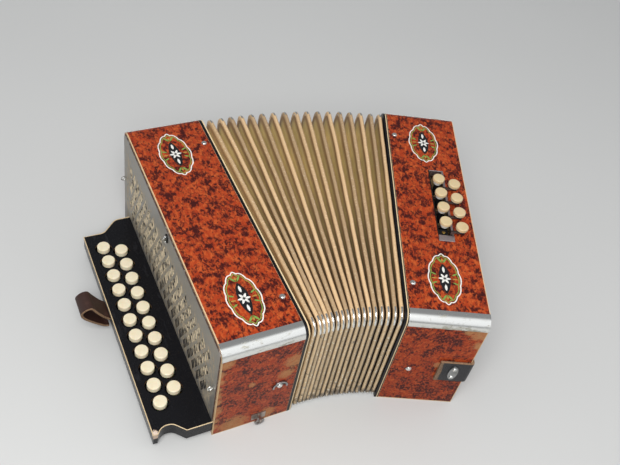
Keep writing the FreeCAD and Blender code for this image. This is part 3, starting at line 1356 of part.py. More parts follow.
def build_hand_strap():
    """Leather band over the end cover, its ends turned round the casing."""
    near = total(inside("sizes.bass_width"), "sizes.seat_gap")
    lap = minus(near, "sizes.hand_strap_lap")
    far = total(near, "sizes.strap_skin")
    half = total(HALF, "sizes.seat_gap")
    outer_half = total(half, "sizes.strap_skin")
    turn = "sizes.hand_strap_turn"
    sagitta = "sizes.hand_strap_arch"
    inner_radius = "((%s)^2 + (%s)^2) / (2 * %s)" % (turn, sagitta, sagitta)
    owner = body("hand_strap")
    points = [(lap, "-(%s)" % half), (near, "-(%s)" % half), (near, "-" + turn), (near, turn),
              (near, half), (lap, half), (lap, outer_half), (far, outer_half), (far, turn),
              (far, "-" + turn), (far, "-(%s)" % outer_half), (lap, "-(%s)" % outer_half)]
    low = "sizes.hand_strap_height - sizes.hand_strap_breadth / 2"
    sketch = sketch_on(owner, "XY_Plane", low)
    add_outline(sketch, points, {2: (inner_radius, 1), 8: (inner_radius, -1)})
    pad(owner, sketch, "sizes.hand_strap_breadth")
    bass_node(owner, "hand_strap")
    build_strap_plates(outer_half, minus(near, "sizes.hand_strap_lap / 2"))


def add_outline(sketch, points, arcs):
    """A closed outline whose sides are straight, or arcs given by radius and turning sense.

    A sense of 1 bends a side to the right of its run, and -1 to the left.
    """
    corners = [Vector(value(across), value(up), 0) for across, up in points]
    count = len(points)
    starts = {}
    for index in range(count):
        near, far = corners[index], corners[(index + 1) % count]
        if index in arcs:
            radius, sense = arcs[index]
            curve, counterclockwise = minor_arc(near, far, value(radius), sense)
            starts[index] = (1, 2) if counterclockwise else (2, 1)
        else:
            curve = Part.LineSegment(near, far)
            starts[index] = (1, 2)
        sketch.addGeometry(curve, False)
    for index in range(count):
        following = (index + 1) % count
        sketch.addConstraint(Sketcher.Constraint("Coincident", index, starts[index][1],
                                                 following, starts[following][0]))
    for index, (across, up) in enumerate(points):
        place_point(sketch, index, starts[index][0], across, up)
    for index, (radius, sense) in arcs.items():
        number = sketch.addConstraint(Sketcher.Constraint("Radius", index, value(radius)))
        bind(sketch, {"Constraints[%d]" % number: radius})


def build_strap_plates(face, across):
    """Oval plate over each end of the hand strap."""
    parts = []
    for sign, axis in (("", "y"), ("-", "-y")):
        oval = doc.addObject("Part::Ellipse", "oval")
        oval.Placement = Placement(Vector(), TURN[axis].multiply(Rotation(Vector(0, 0, 1), 90)))
        bind(oval, {"MajorRadius": "sizes.strap_plate_length / 2",
                    "MinorRadius": "sizes.strap_plate_breadth / 2",
                    "Placement.Base.x": across, "Placement.Base.y": sign + "(%s)" % face,
                    "Placement.Base.z": "sizes.hand_strap_height"})
        plate = doc.addObject("Part::Extrusion", "strap_plate")
        plate.Base = oval
        plate.DirMode = "Custom"
        plate.Dir = Vector(0, -1 if sign else 1, 0)
        plate.Solid = True
        bind(plate, {"LengthFwd": "sizes.strap_plate_skin"})
        parts.append(plate)
    bass_node(group("hand_strap_plates", parts), "hand_strap_plates")


# ---------------------------------------------------------------- document

def check_and_write():
    doc.recompute()
    failed = [item.Name for item in doc.Objects
              if "Invalid" in item.State or "Error" in item.State]
    if failed:
        raise RuntimeError("failed objects: " + ", ".join(failed))
    for item in nodes:
        if item.Shape.isNull() or not item.Shape.isValid():
            raise RuntimeError("bad shape: " + item.Label)
    os.makedirs("parts", exist_ok=True)
    for item in nodes:
        item.Shape.exportStep("parts/%s.step" % item.Label)
    print("%d nodes written" % len(nodes))


def main():
    fill_sheet()
    build_casings()
    build_studs()
    build_bellows()
    build_fingerboard()
    build_treble_keys()
    build_treble_axle()
    build_treble_springs()
    build_treble_soundboard()
    build_treble_reeds()
    build_grille()
    build_thumb_strap()
    build_strap_ring()
    build_bass_keys()
    build_bass_channel()
    build_bass_axle()
    build_bass_boards()
    build_bass_reeds()
    build_end_cover()
    build_air_button()
    build_hand_strap()
    check_and_write()


main()
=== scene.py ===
"""Looks of a two-row button accordion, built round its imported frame."""
import json
import math

import bmesh
import bpy
from bpy.props import FloatProperty, FloatVectorProperty, IntProperty
from bpy.types import Operator, Panel, PropertyGroup
from mathutils import Matrix, Vector, noise


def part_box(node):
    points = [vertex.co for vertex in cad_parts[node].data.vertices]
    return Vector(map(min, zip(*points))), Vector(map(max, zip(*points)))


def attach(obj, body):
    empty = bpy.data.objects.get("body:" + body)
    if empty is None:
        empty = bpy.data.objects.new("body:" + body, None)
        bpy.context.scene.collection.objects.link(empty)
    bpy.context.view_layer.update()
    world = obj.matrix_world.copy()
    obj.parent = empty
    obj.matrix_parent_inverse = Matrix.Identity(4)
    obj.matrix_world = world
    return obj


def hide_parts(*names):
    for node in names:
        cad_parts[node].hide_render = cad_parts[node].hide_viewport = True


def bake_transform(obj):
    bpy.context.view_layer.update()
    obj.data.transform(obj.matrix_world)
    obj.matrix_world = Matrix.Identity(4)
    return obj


bl_info = {
    "name": "Button accordion",
    "version": (1, 0, 0),
    "blender": (4, 5, 0),
    "location": "View3D > Sidebar > Accordion",
    "description": "Dresses the frame of a two-row button accordion in cloth, celluloid and metal",
    "category": "Object",
}

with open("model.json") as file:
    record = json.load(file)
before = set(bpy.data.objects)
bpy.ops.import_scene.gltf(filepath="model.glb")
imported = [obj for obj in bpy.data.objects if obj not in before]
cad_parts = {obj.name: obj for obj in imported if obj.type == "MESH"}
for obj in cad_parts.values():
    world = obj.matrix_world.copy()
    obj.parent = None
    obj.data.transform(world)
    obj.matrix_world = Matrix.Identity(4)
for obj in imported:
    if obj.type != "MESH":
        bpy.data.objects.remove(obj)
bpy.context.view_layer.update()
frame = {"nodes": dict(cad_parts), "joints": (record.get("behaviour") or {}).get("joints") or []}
MM = 0.001
UP = Vector((0, 0, 1))


# ---------------------------------------------------------------- places read from the frame

def joint(name):
    return next(item for item in frame["joints"] if item["name"] == name)


FAN = math.radians(-joint("bellows_fan")["range_deg"][0])
TREBLE_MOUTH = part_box("treble_bellows_frame")[1].x
CASING_LOW, CASING_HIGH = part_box("treble_casing")
FRONT = CASING_HIGH.z
HALF = CASING_HIGH.y


def node_points(node, back=Matrix()):
    """Corners of a CAD node; back leads into the frame in which they are wanted."""
    return [back @ vertex.co for vertex in frame["nodes"][node].data.vertices]


def bass_frame():
    """Where the bass end's own frame lies: X out of its bellows frame, Y up the instrument."""
    turn = Matrix.Rotation(-FAN, 4, "Z")
    points = node_points("bass_bellows_frame", turn.inverted())
    face = min(point.x for point in points)
    middle = (min(point.y for point in points) + max(point.y for point in points)) / 2
    return Matrix.Translation(turn @ Vector((face, middle, 0))) @ turn


BASS = bass_frame()
BASS_BACK = BASS.inverted()


def bass_box(node):
    """Lowest and highest corner of a CAD node in the bass end's own frame."""
    points = node_points(node, BASS_BACK)
    low = Vector(min(point[axis] for point in points) for axis in range(3))
    high = Vector(max(point[axis] for point in points) for axis in range(3))
    return low, high


BASS_REACH = (BASS.translation.x - TREBLE_MOUTH) / math.sin(FAN)
APEX = Vector((TREBLE_MOUTH, BASS.translation.y - BASS_REACH * math.cos(FAN), 0))
TREBLE_REACH = -APEX.y


def fan_point(share, along, up, front):
    """A point on the fan; share runs from 0 at the treble end to 1 at the bass end."""
    angle = FAN * share
    reach = TREBLE_REACH + (BASS_REACH - TREBLE_REACH) * share + up
    outward = Vector((math.sin(angle), math.cos(angle), 0))
    across = Vector((math.cos(angle), -math.sin(angle), 0))
    return APEX + outward * reach + across * along + UP * front


# ---------------------------------------------------------------- sizes and colours

def tint(code):
    """Linear colour of a six-figure colour code."""
    levels = [int(code[place:place + 2], 16) / 255 for place in (0, 2, 4)]
    linear = [level / 12.92 if level <= 0.04045 else ((level + 0.055) / 1.055) ** 2.4
              for level in levels]
    return (*linear, 1)


def length(label, text, default):
    return FloatProperty(name=label, description=text, default=default, unit="LENGTH", min=0)


def colour(label, text, code):
    return FloatVectorProperty(name=label, description=text, default=tint(code), size=4,
                               subtype="COLOR", min=0, max=1)


class AccordionSizes(PropertyGroup):
    """Sizes that only the looks use."""
    fold_count: IntProperty(name="Folds", description="Ridges of the bellows", default=17, min=3)
    ridge_inset: length("Ridge inset", "Ridges inside the casing's outline", 0.0008)
    fold_depth: length("Fold depth", "Ridge to valley", 0.0176)
    ridge_round: length("Ridge rounding", "Half breadth of a rounded ridge", 0.002)
    ridge_corner: length("Ridge corner", "Front corner of a ridge", 0.0112)
    ridge_back_corner: length("Back corner", "Back corner of a ridge", 0.006)
    valley_corner: length("Valley corner", "Corner of a valley", 0.003)
    cap_half: length("Metal corner", "Half breadth of a ridge's metal corner", 0.0019)
    cap_reach: length("Metal corner reach", "Metal corner along the ridge past the bend", 0.0004)
    button_round: length("Button rounding", "Rounded rim of a treble button", 0.0009)
    cap_round: length("Bass button rounding", "Rounded rim of a bass button", 0.0011)
    bevel: length("Edge break", "Broken edge of wood and metal pieces", 0.0003)
    strap_thickness: length("Strap", "Leather of the straps", 0.0024)
    binding: length("Binding", "Half breadth of the pale binding on the fingerboard", 0.00048)


class AccordionColours(PropertyGroup):
    """Colours of the finishes."""
    burl: colour("Burl", "Celluloid between its spots", "A83C1A")
    burl_pale: colour("Pale burl", "Brightest clouds of the celluloid", "C25A2A")
    burl_spot: colour("Burl spot", "Dark spots of the celluloid", "5A2018")
    bare: colour("Bare patch", "Celluloid worn through to its backing", "C79A6B")
    burl_core: colour("Burl cores", "Darkest specks of the celluloid", "3A1212")
    cream: colour("Cream", "Bindings and pale lines", "E9CFA4")
    edge: colour("Worn edge", "Rubbed edges of the celluloid", "C58A58")
    button: colour("Button", "Treble buttons", "F6EACB")
    bass_button: colour("Bass button", "Bass buttons", "D8C196")
    black: colour("Black lacquer", "Fingerboard and bellows frames", "151518")
    tape: colour("Ridge tape", "Tape over the ridges", "D0AF84")
    cloth: colour("Bellows cloth", "Flanks of the folds", "D0BC84")
    # this colour is painted shade, laid on the flanks beside the tape and on each ridge's far side
    seam: colour("Seam", "Folds beside the tape", "8C6248")
    # this colour is painted shade, darkening the valleys of the folds
    valley: colour("Valley", "Depth of the closed folds", "1C0D08")
    grille: colour("Grille", "Worn sheet metal of the grille", "A3A09A")
    patina: colour("Grille patina", "Stained metal between the slots", "CDBB9C")
    chrome: colour("Chrome", "Corner strips, pins and metal corners", "E6E6E2")
    steel: colour("Steel", "Axles and plain fittings", "9FA0A0")
    brass: colour("Brass", "Springs and the block's screw", "C7A252")
    leather: colour("Brown leather", "Thumb strap", "3A2119")
    strap: colour("Black leather", "Hand strap", "1B1B1F")
    leather_edge: colour("Cut leather", "Edges and frayed ends of the straps", "9A7A5C")
    wood: colour("Plain wood", "Boards and blocks inside", "C9A878")
    felt: colour("Pallet leather", "Facing of the pallets", "D9C7AC")
    inlay_white: colour("White inlay", "Pale lines of the inlay", "F4F2EA")
    inlay_green: colour("Green inlay", "Leaves of the inlay", "7FA24A")
    inlay_gold: colour("Gold inlay", "Inner line of the inlay", "B98A3A")
    floor_bounce: colour("Floor bounce", "Floor as the light that it throws back sees it",
                         "58585A")
    floor: colour("Floor", "Floor under the instrument", "D2D2D0")


class AccordionLights(PropertyGroup):
    """Camera and lamps."""
    place: FloatVectorProperty(name="Camera", description="Where the camera stands",
                               default=(-0.2053, -0.4668, 0.6892), subtype="XYZ", unit="LENGTH")
    target: FloatVectorProperty(name="Aim", description="Point that the camera looks at",
                                default=(0.1198, 0.0111, 0.066), subtype="XYZ", unit="LENGTH")
    roll: FloatProperty(name="Roll", description="Turn of the camera about its own line",
                        default=math.radians(13.27), subtype="ANGLE")
    lens: FloatProperty(name="Lens", description="Focal length on a 36 mm sensor", default=47.73)
    ambient: FloatProperty(name="Ambient", description="Strength of the surroundings",
                           default=0.5, min=0)
    key: FloatProperty(name="Key lamp", description="Power of the large lamp", default=10.5,
                       unit="POWER")
    fill: FloatProperty(name="Fill lamps", description="Power of each side lamp", default=1.6,
                        unit="POWER")


def sizes():
    return bpy.context.scene.accordion_sizes


def colours():
    return bpy.context.scene.accordion_colours


# ---------------------------------------------------------------- shader maths

class Wire:
    """An output socket of a material. Python's operators on it add Math or Vector Math nodes."""

    def __init__(self, tree, socket=None):
        self.tree = tree
        self.socket = socket

    def node(self, kind, settings=None, values=None, output=0):
        """Adds a node, sets it up, then fills or links its sockets, and returns an output."""
        made = self.tree.nodes.new(kind)
        for name, setting in (settings or {}).items():
            setattr(made, name, setting)
        for name, value in (values or {}).items():
            if isinstance(value, Wire):
                self.tree.links.new(value.socket, made.inputs[name])
            else:
                made.inputs[name].default_value = value
        return Wire(self.tree, made.outputs[output]) if made.outputs else made

    def math(self, operation, *values):
        kind = "ShaderNodeMath"
        if any(isinstance(value, Wire) and value.socket.type == "VECTOR" for value in values):
            kind = "ShaderNodeVectorMath"
            values = [value if isinstance(value, Wire) or hasattr(value, "__len__")
                      else (value, value, value) for value in values]
        return self.node(kind, {"operation": operation}, dict(enumerate(values)))

    def __add__(self, other):
        return self.math("ADD", self, other)

    __radd__ = __add__

    def __sub__(self, other):
        return self.math("SUBTRACT", self, other)

    def __rsub__(self, other):
        return self.math("SUBTRACT", other, self)

    def __mul__(self, other):
        return self.math("MULTIPLY", self, other)

    def __truediv__(self, other):
        return self.math("DIVIDE", self, other)

    def __abs__(self):
        return self.math("ABSOLUTE", self)

    def least(self, other):
        return self.math("MINIMUM", self, other)

    def most(self, other):
        return self.math("MAXIMUM", self, other)

    def parts(self):
        """The three numbers of a vector."""
        split = self.node("ShaderNodeSeparateXYZ", values={0: self})
        return [Wire(self.tree, output) for output in split.socket.node.outputs]

    def rise(self, low, high):
        """Runs from 0 at low to 1 at high, smoothly; low may be the larger."""
        return self.node("ShaderNodeMapRange", {"interpolation_type": "SMOOTHSTEP"},
                         {0: self, 1: low, 2: high, 3: 0.0, 4: 1.0})

    def band(self, middle, half, soft):
        """1 within half of the middle, and 0 outside."""
        return abs(self - middle).rise(half + soft, half)

    def clouds(self, scale, detail=3.0, rough=0.5, distortion=0.0):
        return self.node("ShaderNodeTexNoise", values={
            "Vector": self, "Scale": scale, "Detail": detail, "Roughness": rough,
            "Distortion": distortion})

    def cells(self, scale, feature="F1"):
        return self.node("ShaderNodeTexVoronoi", {"feature": feature},
                         {"Vector": self, "Scale": scale})

    def blend(self, first, second):
        """Mixes two colours by this number."""
        return self.node("ShaderNodeMix", {"data_type": "RGBA"}, {0: self, 6: first, 7: second},
                         output=2)

    def distance(self, point):
        return self.node("ShaderNodeVectorMath", {"operation": "DISTANCE"},
                         {0: self, 1: tuple(point)}, output=1)


def place_on(tree, bass=False):
    """Place on the piece, in the row frame or in the bass end's own frame."""
    place = Wire(tree).node("ShaderNodeTexCoord", output=3)
    if bass:
        place = place - tuple(BASS.translation)
        place = place.node("ShaderNodeVectorRotate", {"rotation_type": "Z_AXIS"},
                           {"Vector": place, "Angle": FAN})
    return place


def facing(tree):
    """Direction of the surface on the piece itself."""
    return Wire(tree).node("ShaderNodeTexCoord", output=1)


def finish(name, build, fixed=None):
    """A material. build(tree) gives what varies over it, by socket; fixed holds what doesn't."""
    # The frame holds flat materials called brass, steel and so on, so these need other names.
    name += "_finish"
    made = bpy.data.materials.get(name)
    if made:
        return made
    made = bpy.data.materials.new(name)
    made.use_nodes = True
    tree = made.node_tree
    shader = tree.nodes["Principled BSDF"]
    values = build(tree)
    relief = values.pop("relief", None)
    if relief:
        height, depth = relief
        values["Normal"] = height.node("ShaderNodeBump", values={
            "Height": height, "Distance": depth, "Strength": 1.0})
    for socket, value in {**(fixed or {}), **values}.items():
        if isinstance(value, Wire):
            tree.links.new(value.socket, shader.inputs[socket])
        else:
            shader.inputs[socket].default_value = value
    return made


# ---------------------------------------------------------------- finishes

GLOSS = {"Coat Weight": 0.03, "Coat Roughness": 0.2, "Specular IOR Level": 0.15}
GRAIN = (6, 0.5, 6)


def scaled(shade, share, lift=0.0):
    """A colour made darker or brighter, in no part past 1."""
    return tuple(min(1, share * part + lift) for part in shade)


def burl_finish(name, bass, pale_lines, worn, cover=False):
    """Burl celluloid; pale_lines are (axis, place, half breadth), and worn is (centre, radius).

    On a casing the lines keep to the front's edge and the lower face, and the inside is wood.
    """
    shades = colours()

    def build(tree):
        place = place_on(tree, bass)
        axes = place.parts()
        density = place.clouds(90, 3)
        blots = (place * (1.25, 0.8, 1)).clouds(330, 2.5, 0.55, 0.6)
        specks = place.clouds(1000, 2, 0.6)
        mixed = blots * 0.6 + specks * 0.25 + density * 0.45
        spots = mixed.rise(0.58, 0.73)
        cores = mixed.rise(0.67, 0.77).most(specks.rise(0.62, 0.68) * 0.5)
        pale = (place * (1.3, 0.8, 1)).clouds(260, 3, 0.6, 0.5).rise(0.4, 0.68)
        ground = pale.blend(shades.burl, shades.burl_pale)
        shade = (spots * 0.95).blend(ground, shades.burl_spot)
        shade = (cores * 0.85).blend(shade, shades.burl_core)
        ragged = place.clouds(260, 4, 0.75)
        bare = ragged * 0
        for centre, radius in worn:
            reach = place.distance(centre) / radius + ragged * 2.2
            bare = bare.most(reach.rise(2.0, 1.6))
        shade = (bare * 0.85).blend(shade, (ragged * 1.5).least(1.0).blend(
            shades.burl, shades.bare))
        line = ragged * 0
        edges = axes[2].rise(FRONT - 4 * MM, FRONT - 3 * MM).most(
            axes[1].rise(4 * MM - HALF, 3 * MM - HALF))
        for axis, middle, half in pale_lines:
            line = line.most((abs(axes[axis] - middle) + ragged * 0.0006).rise(
                half + 0.0005, half + 0.0002))
        rubbed = (ragged * 1.1 + 0.15).least(1.0).blend(shades.edge, shades.cream)
        shade = (line * edges.most(float(cover))).blend(shade, rubbed)
        if cover:
            return {"Base Color": shade, "Roughness": 0.32 + spots * 0.05,
                    "relief": (ragged * 0.3, 0.00015)}
        inner = abs(axes[1]).rise(HALF - 6 * MM, HALF - 7 * MM) * axes[2].rise(6 * MM, 7 * MM)
        inner = inner * axes[2].rise(FRONT - 5 * MM, FRONT - 7.5 * MM)
        shade = inner.blend(shade, wood_grain(place))
        return {"Base Color": shade,
                "Roughness": 0.32 + bare * 0.3 + inner * 0.35 + spots * 0.05,
                "relief": (ragged * 0.3 - bare * 0.5, 0.00015)}

    return finish(name, build, GLOSS)


def wood_grain(place):
    """Colour of plain wood whose grain runs up the instrument."""
    wood = colours().wood
    fibre = (place * GRAIN).clouds(70, 4, 0.6)
    return fibre.rise(0.3, 0.75).blend(wood, scaled(wood, 0.45))


def wood_finish():
    def build(tree):
        place = place_on(tree)
        return {"Base Color": wood_grain(place), "Roughness": 0.6 + place.clouds(300) * 0.2,
                "relief": ((place * GRAIN).clouds(200, 4), 0.0002)}
    return finish("plain_wood", build)


def metal_finish(name, shade, rough, tarnish=0.35, scale=60):
    """Bright metal with smudges and a little tarnish."""
    def build(tree):
        place = place_on(tree)
        smudge = place.clouds(scale, 4, 0.6)
        pits = place.clouds(900, 2).rise(0.66, 0.72)
        dull = smudge.rise(0.48, 0.72) * tarnish
        tarnished = (shade[0] * 0.5, shade[1] * 0.48, shade[2] * 0.4, 1)
        return {"Base Color": dull.blend(shade, tarnished),
                "Roughness": rough + dull * 0.35 + pits * 0.15,
                "relief": (smudge * 0.4 + pits, 0.00003)}
    return finish(name, build, {"Metallic": 1.0})


LACQUER = {"Coat Weight": 0.05, "Coat Roughness": 0.15, "Specular IOR Level": 0.2}


def lacquer_finish(name, lines=(), bass=False):
    """Black lacquer on wood, with pale lines along an axis."""
    shades = colours()

    def build(tree):
        place = place_on(tree, bass)
        axes = place.parts()
        dust = place.clouds(420, 4, 0.7)
        scuffs = (place * (1, 0.25, 1)).clouds(160, 5, 0.75).rise(0.64, 0.8)
        shade = (scuffs * 0.4).blend(shades.black, (0.07, 0.065, 0.06, 1))
        for axis, middle, half in lines:
            shade = axes[axis].band(middle, half, 0.0002).blend(shade, shades.cream)
        return {"Base Color": shade, "Roughness": 0.26 + scuffs * 0.25 + dust * 0.08,
                "relief": (dust, 0.00003)}
    return finish(name, build, LACQUER)


def fingerboard_finish():
    """Black lacquer on the outside, bare wood in the button holes and at a chipped corner."""
    shades = colours()
    low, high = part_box("fingerboard")
    corner = (low.x + 1 * MM, top_outline("fingerboard")[0].y, high.z - 1.5 * MM)

    def build(tree):
        place = place_on(tree)
        axes = place.parts()
        upright = abs(facing(tree).parts()[2]).rise(0.6, 0.4)
        within = axes[0].rise(low.x + 3 * MM, low.x + 4 * MM)
        within = within * axes[0].rise(high.x - 1 * MM, high.x - 2 * MM)
        within = within * axes[1].rise(low.y + 14 * MM, low.y + 15 * MM)
        within = within * axes[1].rise(high.y - 18 * MM, high.y - 19 * MM)
        holes = upright * within * axes[2].rise(high.z - 3 * MM, high.z - 2.6 * MM)
        holes = holes * axes[2].rise(high.z - 0.9 * MM, high.z - 1.1 * MM)
        dust = place.clouds(420, 4, 0.7)
        scuffs = (place * (1, 0.25, 1)).clouds(140, 5, 0.75).rise(0.56, 0.76)
        shade = (scuffs * 0.5).blend(shades.black, (0.06, 0.06, 0.07, 1))
        chipped = (place.distance(corner) / 0.0065 + dust * 0.9).rise(1.3, 1.1)
        splinters = (dust * 1.3).least(1.0).blend(shades.bare, (0.8, 0.7, 0.62, 1))
        shade = chipped.blend(shade, splinters)
        shade = (holes * 0.5).blend(shade, shades.bare)
        return {"Base Color": shade,
                "Roughness": 0.24 + scuffs * 0.25 + holes.most(chipped) * 0.4 + dust * 0.06,
                "relief": (dust * 0.3 - chipped * 2, 0.00008)}
    return finish("fingerboard", build, LACQUER)


def grille_finish():
    """Worn sheet metal, stained and darkened between the slots, plain along its edges apart from a
    broken line of painted shade; the slot walls carry painted shade low down and painted light
    higher up.
    """
    shades = colours()
    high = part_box("treble_grille")[1]

    def build(tree):
        place = place_on(tree)
        axes = place.parts()
        pierced = axes[2].rise(high.z - 20 * MM, high.z - 24 * MM)
        pierced = pierced * abs(axes[1]).rise(HALF - 8 * MM, HALF - 12 * MM)
        blots = (place * (1, 1.6, 0.8)).clouds(170, 4, 0.7)
        stain = blots.rise(0.42, 0.6) * (0.3 + pierced * 0.7)
        shade = (stain * 0.75).blend(shades.grille, shades.patina)
        dark = place.clouds(330, 3, 0.6).rise(0.57, 0.68) * (0.1 + pierced * 0.3)
        dark = dark.most(axes[2].rise(34 * MM, 24 * MM) * 0.35)
        shade = dark.blend(shade, (0.07, 0.055, 0.045, 1))
        # the slot walls carry painted shade, near black, in the lower rows and painted light, pale
        # beige, in the upper ones, for what shows through the slots
        slot_wall_light_and_shade = abs(facing(tree).parts()[0]).rise(0.7, 0.5) * pierced
        upper = (axes[2] + axes[1] * 0.08 + blots * 0.03).rise(0.05, 0.075)
        lit = place.clouds(160, 2).rise(0.35, 0.55) * upper
        shade = slot_wall_light_and_shade.blend(shade, lit.blend((0.008, 0.006, 0.006, 1), (0.85, 0.72, 0.5, 1)))
        # a broken dark line along the bent edges, painted shade of the flange
        rim = abs(axes[1]).rise(HALF - 3.6 * MM, HALF - 2.4 * MM)
        rim = rim.most(axes[2].rise(high.z - 3 * MM, high.z - 1.5 * MM))
        shade = (rim * blots.rise(0.3, 0.5)).blend(shade, (0.1, 0.055, 0.045, 1))
        return {"Base Color": shade, "Metallic": 0.5 - stain * 0.35 - dark * 0.1 - slot_wall_light_and_shade * 0.05,
                "Roughness": 0.42 + stain * 0.3 + slot_wall_light_and_shade * 0.2,
                "relief": (blots, 0.00025)}
    return finish("grille_metal", build)


def ivory_finish(name, shade):
    """Cream buttons, a little yellowed and scratched."""
    def build(tree):
        place = place_on(tree)
        stain = place.clouds(110, 3).rise(0.45, 0.75) * 0.3
        scratch = (place * (0.4, 2.5, 1)).clouds(900, 3, 0.7).rise(0.62, 0.7) * 0.2
        yellowed = (shade[0] * 0.8, shade[1] * 0.68, shade[2] * 0.45, 1)
        return {"Base Color": (stain + scratch).blend(shade, yellowed),
                "Roughness": 0.3 + scratch + stain * 0.2,
                "relief": (scratch, 0.00003)}
    return finish(name, build, {"Coat Weight": 0.2, "Coat Roughness": 0.15,
                                "Subsurface Weight": 0.05, "Subsurface Scale": 0.002})


def leather_finish(name, shade, sheen=0.42, frayed=None):
    """Grained leather, rubbed paler on its high places, and frayed up to a place across."""
    edge = colours().leather_edge

    def build(tree):
        place = place_on(tree, frayed is not None)
        grain = place.cells(950, "DISTANCE_TO_EDGE")
        rub = place.clouds(90, 4, 0.6).rise(0.5, 0.75)
        creases = (place * (1, 1, 0.3)).clouds(140, 4, 0.7)
        shown = (rub * 0.45).blend(shade, scaled(shade, 2.6, 0.02))
        if frayed is not None:
            torn = (place.parts()[0] + creases * 6 * MM).rise(frayed + 7 * MM, frayed + 6 * MM)
            shown = torn.blend(shown, place.clouds(700, 4, 0.7).rise(0.35, 0.65).blend(
                scaled(edge, 0.5), edge))
        return {"Base Color": shown, "Roughness": sheen + rub * 0.2 + creases * 0.1,
                "relief": (grain.rise(0, 0.12) + creases * 1.2, 0.00012)}
    return finish(name, build)


def cut_leather_finish():
    """Fibres of a cut edge or frayed end."""
    shades = colours()

    def build(tree):
        place = place_on(tree)
        fibre = place.clouds(800, 4, 0.7)
        return {"Base Color": fibre.rise(0.35, 0.7).blend(
                    shades.leather_edge, scaled(shades.leather_edge, 0.4)),
                "Roughness": 0.8 + fibre * 0.1, "relief": (fibre, 0.0003)}
    return finish("leather_edge", build)


def attribute(tree, name):
    return Wire(tree).node("ShaderNodeAttribute", {"attribute_name": name}, output=2)


def bellows_finish():
    """Cloth flanks, taped ridges and valleys darkened with painted shade, worn most on the lower
    face; painted shade also lies beside the tape and on each ridge's far side, and painted light
    brightens the lower face's ridges.
    """
    shades = colours()

    def build(tree):
        place = place_on(tree)
        depth = attribute(tree, "fold_depth")
        lower = attribute(tree, "lower_face")
        tone = attribute(tree, "ridge_tone")
        shut = attribute(tree, "shut")
        far = attribute(tree, "far_side")
        ragged = place.clouds(480, 4, 0.7)
        weave = place.clouds(1500, 2)
        fade = place.clouds(30, 3)
        cloth = fade.rise(0.35, 0.7).blend(shades.cloth,
                                           scaled(shades.cloth, 1.2))
        # painted shade on the flanks just beside the tape
        beside = depth.rise(0.62, 0.3)
        shade = (beside * 0.75).blend(cloth, shades.seam)
        # painted shade in the valleys, deeper towards the lower face where the folds close, and
        # between the crowded ridges of the lower face
        shade = (depth.rise(0.28, 0.6) * shut).blend(shade, shades.valley)
        shade = (depth.rise(0.1, 0.3) * lower * 0.95).blend(shade, shades.valley)
        # the tape's brightness varies with ragged noise, which is wear, and from ridge to ridge
        # with ridge_tone, which is a painted highlight on alternate ridges
        worn = (ragged * 0.5 + tone * 0.5).rise(0.3, 0.75)
        taped = worn.blend(scaled(shades.tape, 0.72),
                           scaled(shades.tape, 1.2))
        on_tape = depth.rise(0.24, 0.2)
        shade = on_tape.blend(shade, taped)
        # painted shade on each ridge's far side, away from the key lamp
        shade = (far.rise(0.55, 0.95) * depth.rise(0.5, 0.08) * 0.55).blend(
            shade, shades.seam)
        # painted light: the ridges of the lower face are brightened, as that face gets less of the
        # lamps
        shade = (lower * depth.rise(0.2, 0.05) * 0.4).blend(shade, (0.9, 0.72, 0.46, 1))
        flecks = ragged.rise(0.58, 0.64) * depth.rise(0.14, 0.02) * (0.25 + lower * 0.75)
        shade = flecks.blend(shade, (0.95, 0.9, 0.74, 1))
        # painted shade on the far side of each ridge of the lower face
        shade = (far.rise(0.35, 0.8) * lower * 0.9).blend(shade, shades.valley)
        # dark patches on the lower face, more of them towards the floor
        floor_side = place.parts()[2].rise(28 * MM, 5 * MM)
        dark_patches = lower * (place.clouds(150, 4, 0.7) + floor_side * 0.2).rise(0.58, 0.72)
        shade = (dark_patches * 0.75).blend(shade, (0.085, 0.07, 0.06, 1))
        return {"Base Color": shade, "Roughness": 0.5 + weave * 0.2 - on_tape * 0.12,
                "relief": (weave * 0.5 + on_tape * 1.5 + ragged * 0.8, 0.00018)}
    return finish("bellows_cloth", build)


def plain_finish(name, shade, rough):
    """An even finish that is only a little mottled."""
    def build(tree):
        place = place_on(tree)
        mottle = place.clouds(350, 3)
        return {"Base Color": mottle.rise(0.3, 0.75).blend(shade, scaled(shade, 0.82)),
                "Roughness": rough + mottle * 0.1, "relief": (mottle, 0.00004)}
    return finish(name, build)


def floor_finish():
    """Pale to the eye and in mirrors; darker for the light that it throws back."""
    shades = colours()

    def build(tree):
        place = place_on(tree)
        pale = place.clouds(4, 2).blend(shades.floor,
                                        scaled(shades.floor, 0.97))
        scattered = seen_by(tree, "Is Diffuse Ray")[0]
        return {"Base Color": scattered.blend(pale, shades.floor_bounce),
                "Roughness": 0.85 + place.clouds(60) * 0.05}
    return finish("floor", build)


def seen_by(tree, *kinds):
    """Light Path outputs by name."""
    path = Wire(tree).node("ShaderNodeLightPath").socket.node
    return [Wire(tree, path.outputs[kind]) for kind in kinds]


def black_finish():
    return lacquer_finish("black_lacquer")


def chrome_finish():
    return metal_finish("chrome", colours().chrome, 0.14)


